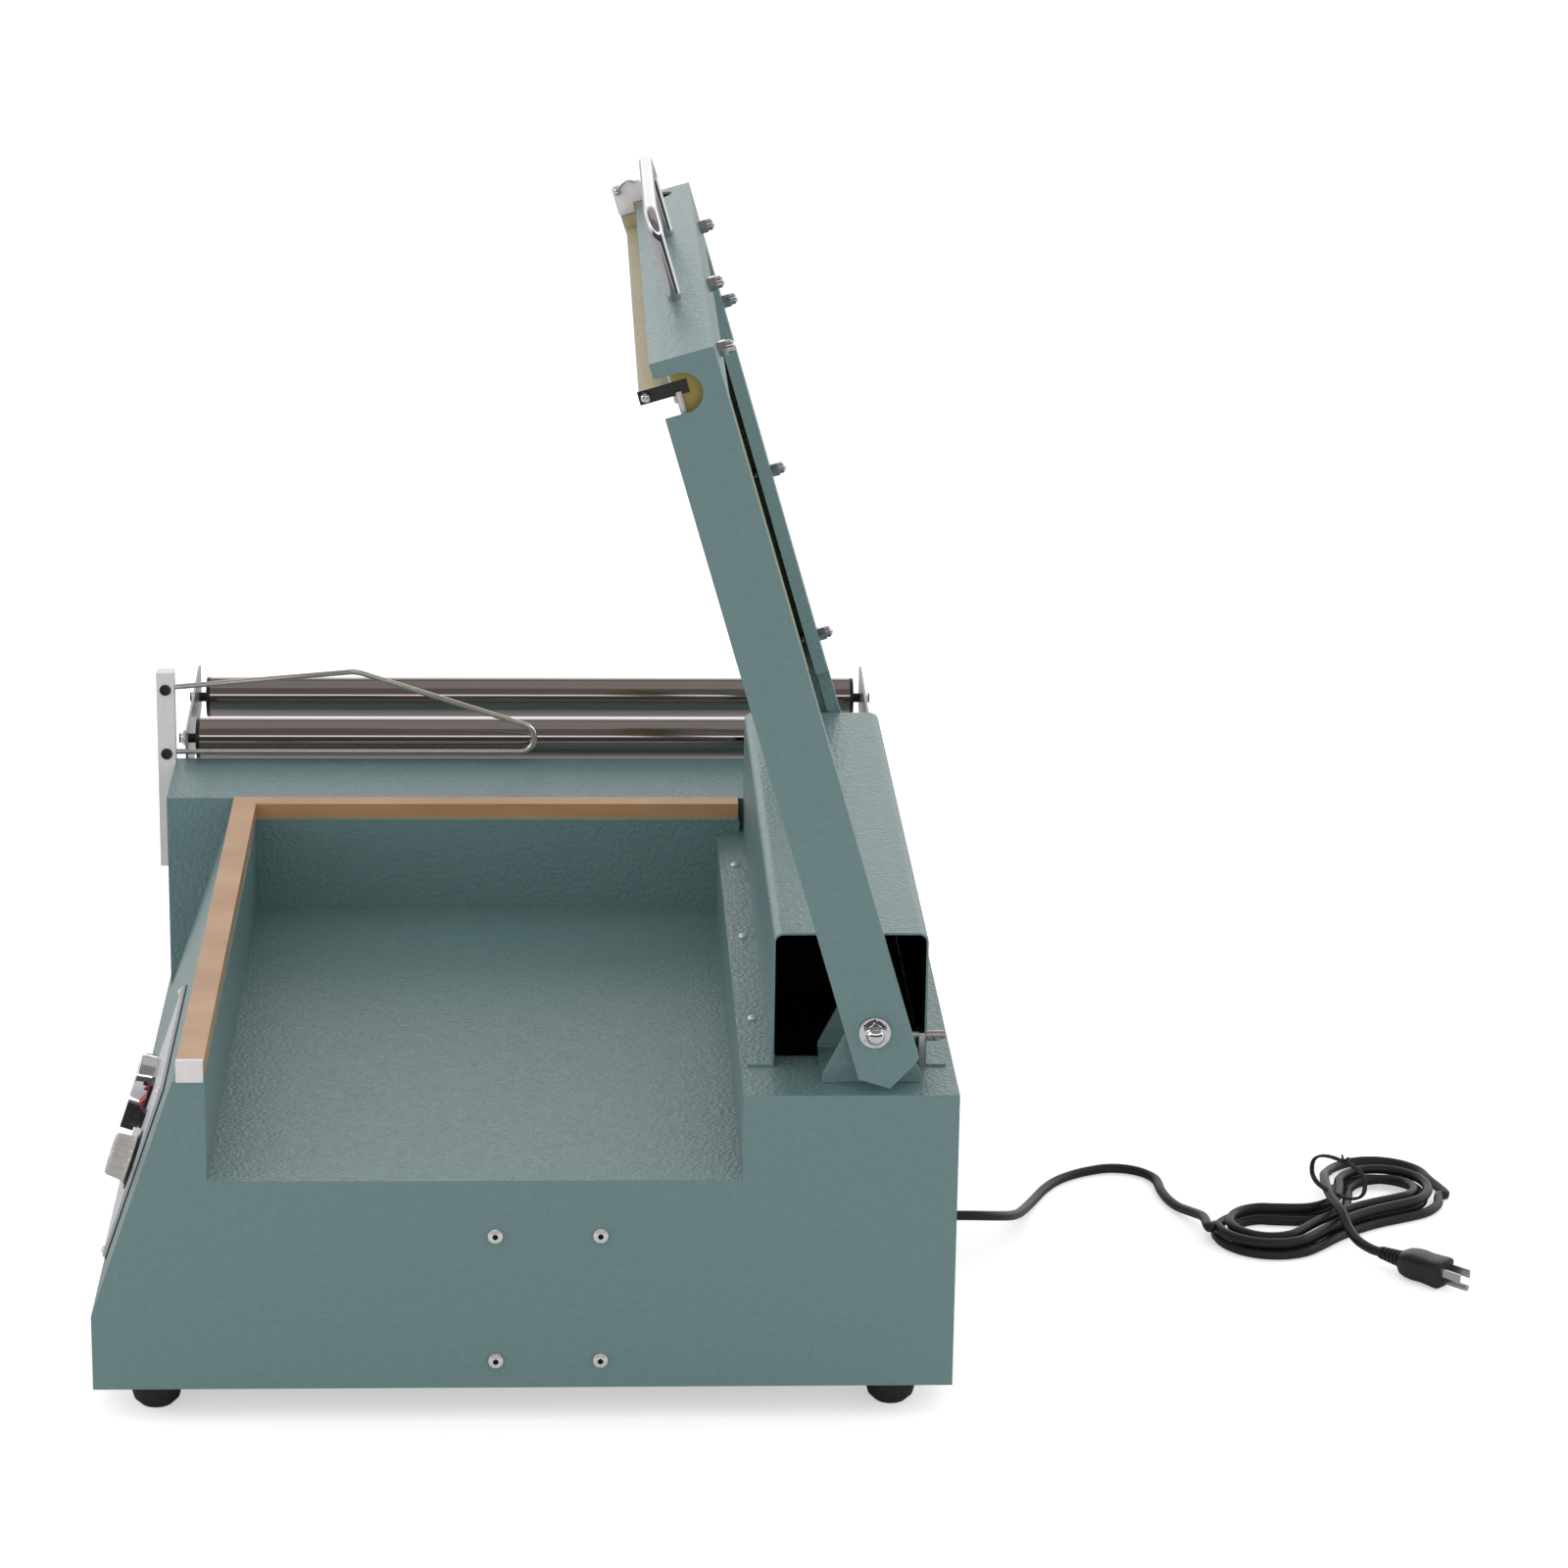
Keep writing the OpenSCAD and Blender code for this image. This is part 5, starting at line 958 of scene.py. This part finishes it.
# %% Nuts on the hinge shaft and the roller axles
def acorn(across_flats, hex_high, ball, top, steps=48):
    flat_r, chamfer_top = across_flats / 2, hex_high + 0.5

    def level(share, round_r, z):
        ring = []
        for i in range(steps):
            a = math.tau * i / steps
            hex_r = flat_r / math.cos((a + math.pi / 6) % (math.pi / 3) - math.pi / 6)
            r = hex_r * (1 - share) + round_r * share
            ring.append(Vector((r * math.cos(a) * MM, r * math.sin(a) * MM, z * MM)))
        return ring
    rings = [level(*l) for l in (
        (0, 0, 0), (0, 0, hex_high - 1.1), (0.55, flat_r, hex_high - 0.3), (1, flat_r - 0.5, hex_high),
        (1, ball + 0.35, hex_high + 0.1), (1, ball, chamfer_top))]
    for t in (math.pi / 2 * k / 9 for k in range(1, 9)):
        rings.append(level(1, ball * math.cos(t), chamfer_top + (top - chamfer_top) * math.sin(t)))
    rings.append(circle(0.02 * MM, steps, top * MM))
    return as_mesh(skinned(rings), "acorn")


nut_high = 11.0 * MM
lo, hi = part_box("pivot_nuts")
big_nut = acorn(15.5, 5.6, 6.4, 11.4)
bm = bmesh.new()
pour(bm, big_nut, aimed(Vector((hi[0] - nut_high, *at(0, *hinge_line).yz)), X))
pour(bm, big_nut, aimed(Vector((lo[0] + nut_high, *at(0, *hinge_line).yz)), -X))
piece("hinge_nuts", bm, chrome, "jaw", ["pivot_nuts"], angle=28)
axle_nut = acorn(11.5, 3.4, 4.6, 6.4, 36)
marks = [(at(x, side * 284, 253), Y * side) for x in (-735, -857) for side in (-1, 1)]
piece("axle_cap_nuts", row(axle_nut, marks, 6.28, 5), chrome, "base", ["axle_nuts"], angle=28)
print("pivot nuts", [round(v, 4) for v in lo], [round(v, 4) for v in hi])

# %% [markdown]
# ## Terminals at the jaw's head
# The current comes to the ends of the two sealing wires. The near end has a screw and the sleeve of its lead,
# the far end a cranked plate with a screw and a bare loop of wire. The plate is cut along its outline as from
# sheet, and the loop is a row of small circles, each aimed at the next.

# %% Near terminal
small_head = resized(pan_head, 0.95)
piece("near_terminal_head", row(small_head, [(on_jaw(-8.2, 470.2, 28.4), X)], 6.28, 2), chrome, "front_board")
sleeve = turned([(0, 0), (1.9, 0.1), (2.1, 0.6), (2.1, 15.6), (1.9, 16), (0, 16)], 20)
bm = bmesh.new()
pour(bm, sleeve, aimed(on_jaw(-10.4, 468, 6.5), -jaw_up))
piece("lead_sleeve", bm, silver_plastic, "front_board")
print("near terminal with", len(sleeve.polygons), "faces of sleeve")

# %% Far terminal
plate_back, plate_front = -589.9, -588.6
screw_u, screw_w, loop_out, lead_r, lead_pitch = 505.5, 30, 6, 0.8, 1.55
plate_outline = [(21, 486.5), (33, 486.5), (34.2, 488.5), (34.2, 508), (32.5, 510), (12.5, 510), (11, 508.5),
                 (11, 494), (21, 494)]
bm = skinned([[on_jaw(x, u, w) for w, u in plate_outline] for x in (plate_back, plate_front)])
plate_mesh = settled(as_mesh(bm, "plate"), ("BEVEL", dict(width=0.25 * MM, segments=2, limit_method="ANGLE")))
piece("far_terminal_plate", plate_mesh, guide_metal, "side_board")
piece("far_terminal_head", row(small_head, [(on_jaw(plate_front, screw_u, screw_w), X)], 6.28, 4), chrome,
      "side_board")
loop = [on_jaw(plate_front + 2, screw_u + loop_out * math.sin(math.pi * k / 12), screw_w - lead_pitch * k)
        for k in range(12)]
lead_rings = [[aimed(p, q - p) @ v for v in circle(lead_r * MM, 8)] for p, q in zip(loop, loop[1:])]
piece("far_lead", skinned(lead_rings), zinc, "side_board")
print("far terminal's plate", len(plate_mesh.polygons), "faces, its lead", len(lead_rings), "rings")

# %% [markdown]
# ## Timer knob and scale
# The timer's knob is a ribbed, half clear cap over a printed scale. A ring whose radius dips once for each rib
# makes the grip in one skin. The scale is a row of thin ticks and six plain numbers, set just over the panel.


# %% Timer knob
def ribbed(profile, ribs, depth, steps_per_rib=6):
    steps = ribs * steps_per_rib
    rings = []
    for r, z, share in profile:
        ring = []
        for i in range(steps):
            a, dip = math.tau * i / steps, 0.5 - 0.5 * math.cos(math.tau * i / steps_per_rib)
            dipped = r - depth * share * dip
            ring.append(Vector((dipped * math.cos(a) * MM, dipped * math.sin(a) * MM, z * MM)))
        rings.append(ring)
    return as_mesh(skinned(rings), "ribbed")


timer_x, timer_u = -105, 78
timer_place = aimed(on_slant(timer_x, timer_u), slant_out)
knob = ribbed([(17.4, 5.5, 0), (17.5, 6.2, 0), (17.0, 7.2, 0.6), (16.2, 9.5, 1), (15.6, 17, 1),
               (15.1, 19.2, 0.7), (14.0, 20.1, 0.1), (12.0, 20.3, 0), (11.6, 19.8, 0), (4, 19.5, 0)], 24, 0.9)
bm = bmesh.new()
pour(bm, knob, timer_place)
slab(bm, timer_place @ Matrix.Translation(Vector((0, 8.9, 20.175)) * MM), 1.2, 9.8, 0.55)
piece("timer_cap", bm, silver_plastic, "timer_knob", ["timer_knob"])
print("timer knob", len(knob.polygons), "faces")

# %% Ticks round the timer and the selector
on_panel = 3.03
bm = bmesh.new()
slab(bm, Matrix.Identity(4), 0.5, 2.6, 0.06)
tick = as_mesh(bm, "tick")


def dial(x, u, r, degrees):
    marks = []
    for a in (math.radians(d) for d in degrees):
        marks.append((on_slant(x + r * math.sin(a), u + r * math.cos(a), on_panel), slant_out, -a))
    return marks


scale = dial(timer_x, timer_u, 22.5, range(-135, 136, 15)) + dial(selector_x, selector_u, 16.5, (-45, 0, 45))
piece("dial_ticks", row(tick, scale), black_plastic, "base")
print(len(scale), "ticks")

# %% Numbers round the timer
number_r, number_high = 27.5, 5.2 * MM
bm = bmesh.new()
for k in range(6):
    a = math.radians(-135 + 54 * k)
    digit = bpy.data.curves.new("digit", "FONT")
    digit.body, digit.size, digit.extrude = str(k), number_high, 0.03 * MM
    digit.align_x, digit.align_y = "CENTER", "CENTER"
    holder = bpy.data.objects.new("digit", digit)
    bpy.context.scene.collection.objects.link(holder)
    place = on_slant(timer_x + number_r * math.sin(a), timer_u + number_r * math.cos(a), on_panel)
    pour(bm, plain_mesh(holder), aimed(place, slant_out))
piece("dial_digits", bm, black_plastic, "base")
print("numbers 0 to 5")

# %% [markdown]
# ## Tie round the hank's waist
# A plastic-covered wire goes twice round the hank where its runs cross, and its two ends are twisted and stand
# up. A wire is a tube along points, with each of its circles aimed at the way ahead. The loops are rings
# flattened to the height of the runs.

# %% Tie
waist = at(*hank_mid, 0)
across, along_hank = Vector((*hank_wide, 0)), Vector((*hank_long, 0))
half_wide, half_high, loop_middle = 27, 14.6, 13.9


def wire_tube(points, r, sides=8, closed=True):
    rings = []
    count = len(points)
    for i, p in enumerate(points):
        ahead = points[(i + 1) % count] if closed or i < count - 1 else p
        last = points[i - 1] if closed or i else p
        m = aimed(p, ahead - last, along_hank)
        rings.append([m @ v for v in circle(r, sides)])
    return as_mesh(skinned(rings + rings[:1] if closed else rings, not closed), "wire")


bm = bmesh.new()
for shift, turn in ((-1.1, 0.0), (1.1, 0.35)):
    loop = []
    for k in range(28):
        a = math.tau * k / 28 + turn
        c, s = math.cos(a), math.sin(a)
        loop.append(waist + across * half_wide * MM * math.copysign(abs(c) ** 0.75, c)
                    + along_hank * (shift + 1.5 * c) * MM
                    + Z * (loop_middle + half_high * math.copysign(abs(s) ** 0.8, s)) * MM)
    pour(bm, wire_tube(loop, 1.1 * MM))
for way in (-1, 1):
    start = waist + across * 6 * MM + Z * 28.6 * MM
    tail = [start + across * way * 0.385 * k * k * MM + along_hank * math.sin(k * 1.1) * 1.3 * MM * way
            + Z * (k * 1.9 - 0.16 * k * k) * MM for k in range(4)]
    pour(bm, wire_tube(tail, 0.9 * MM, closed=False))
tie_piece = piece("hank_tie", bm, cord_skin, "base", angle=60)
print("tie", len(tie_piece.data.polygons), "faces")
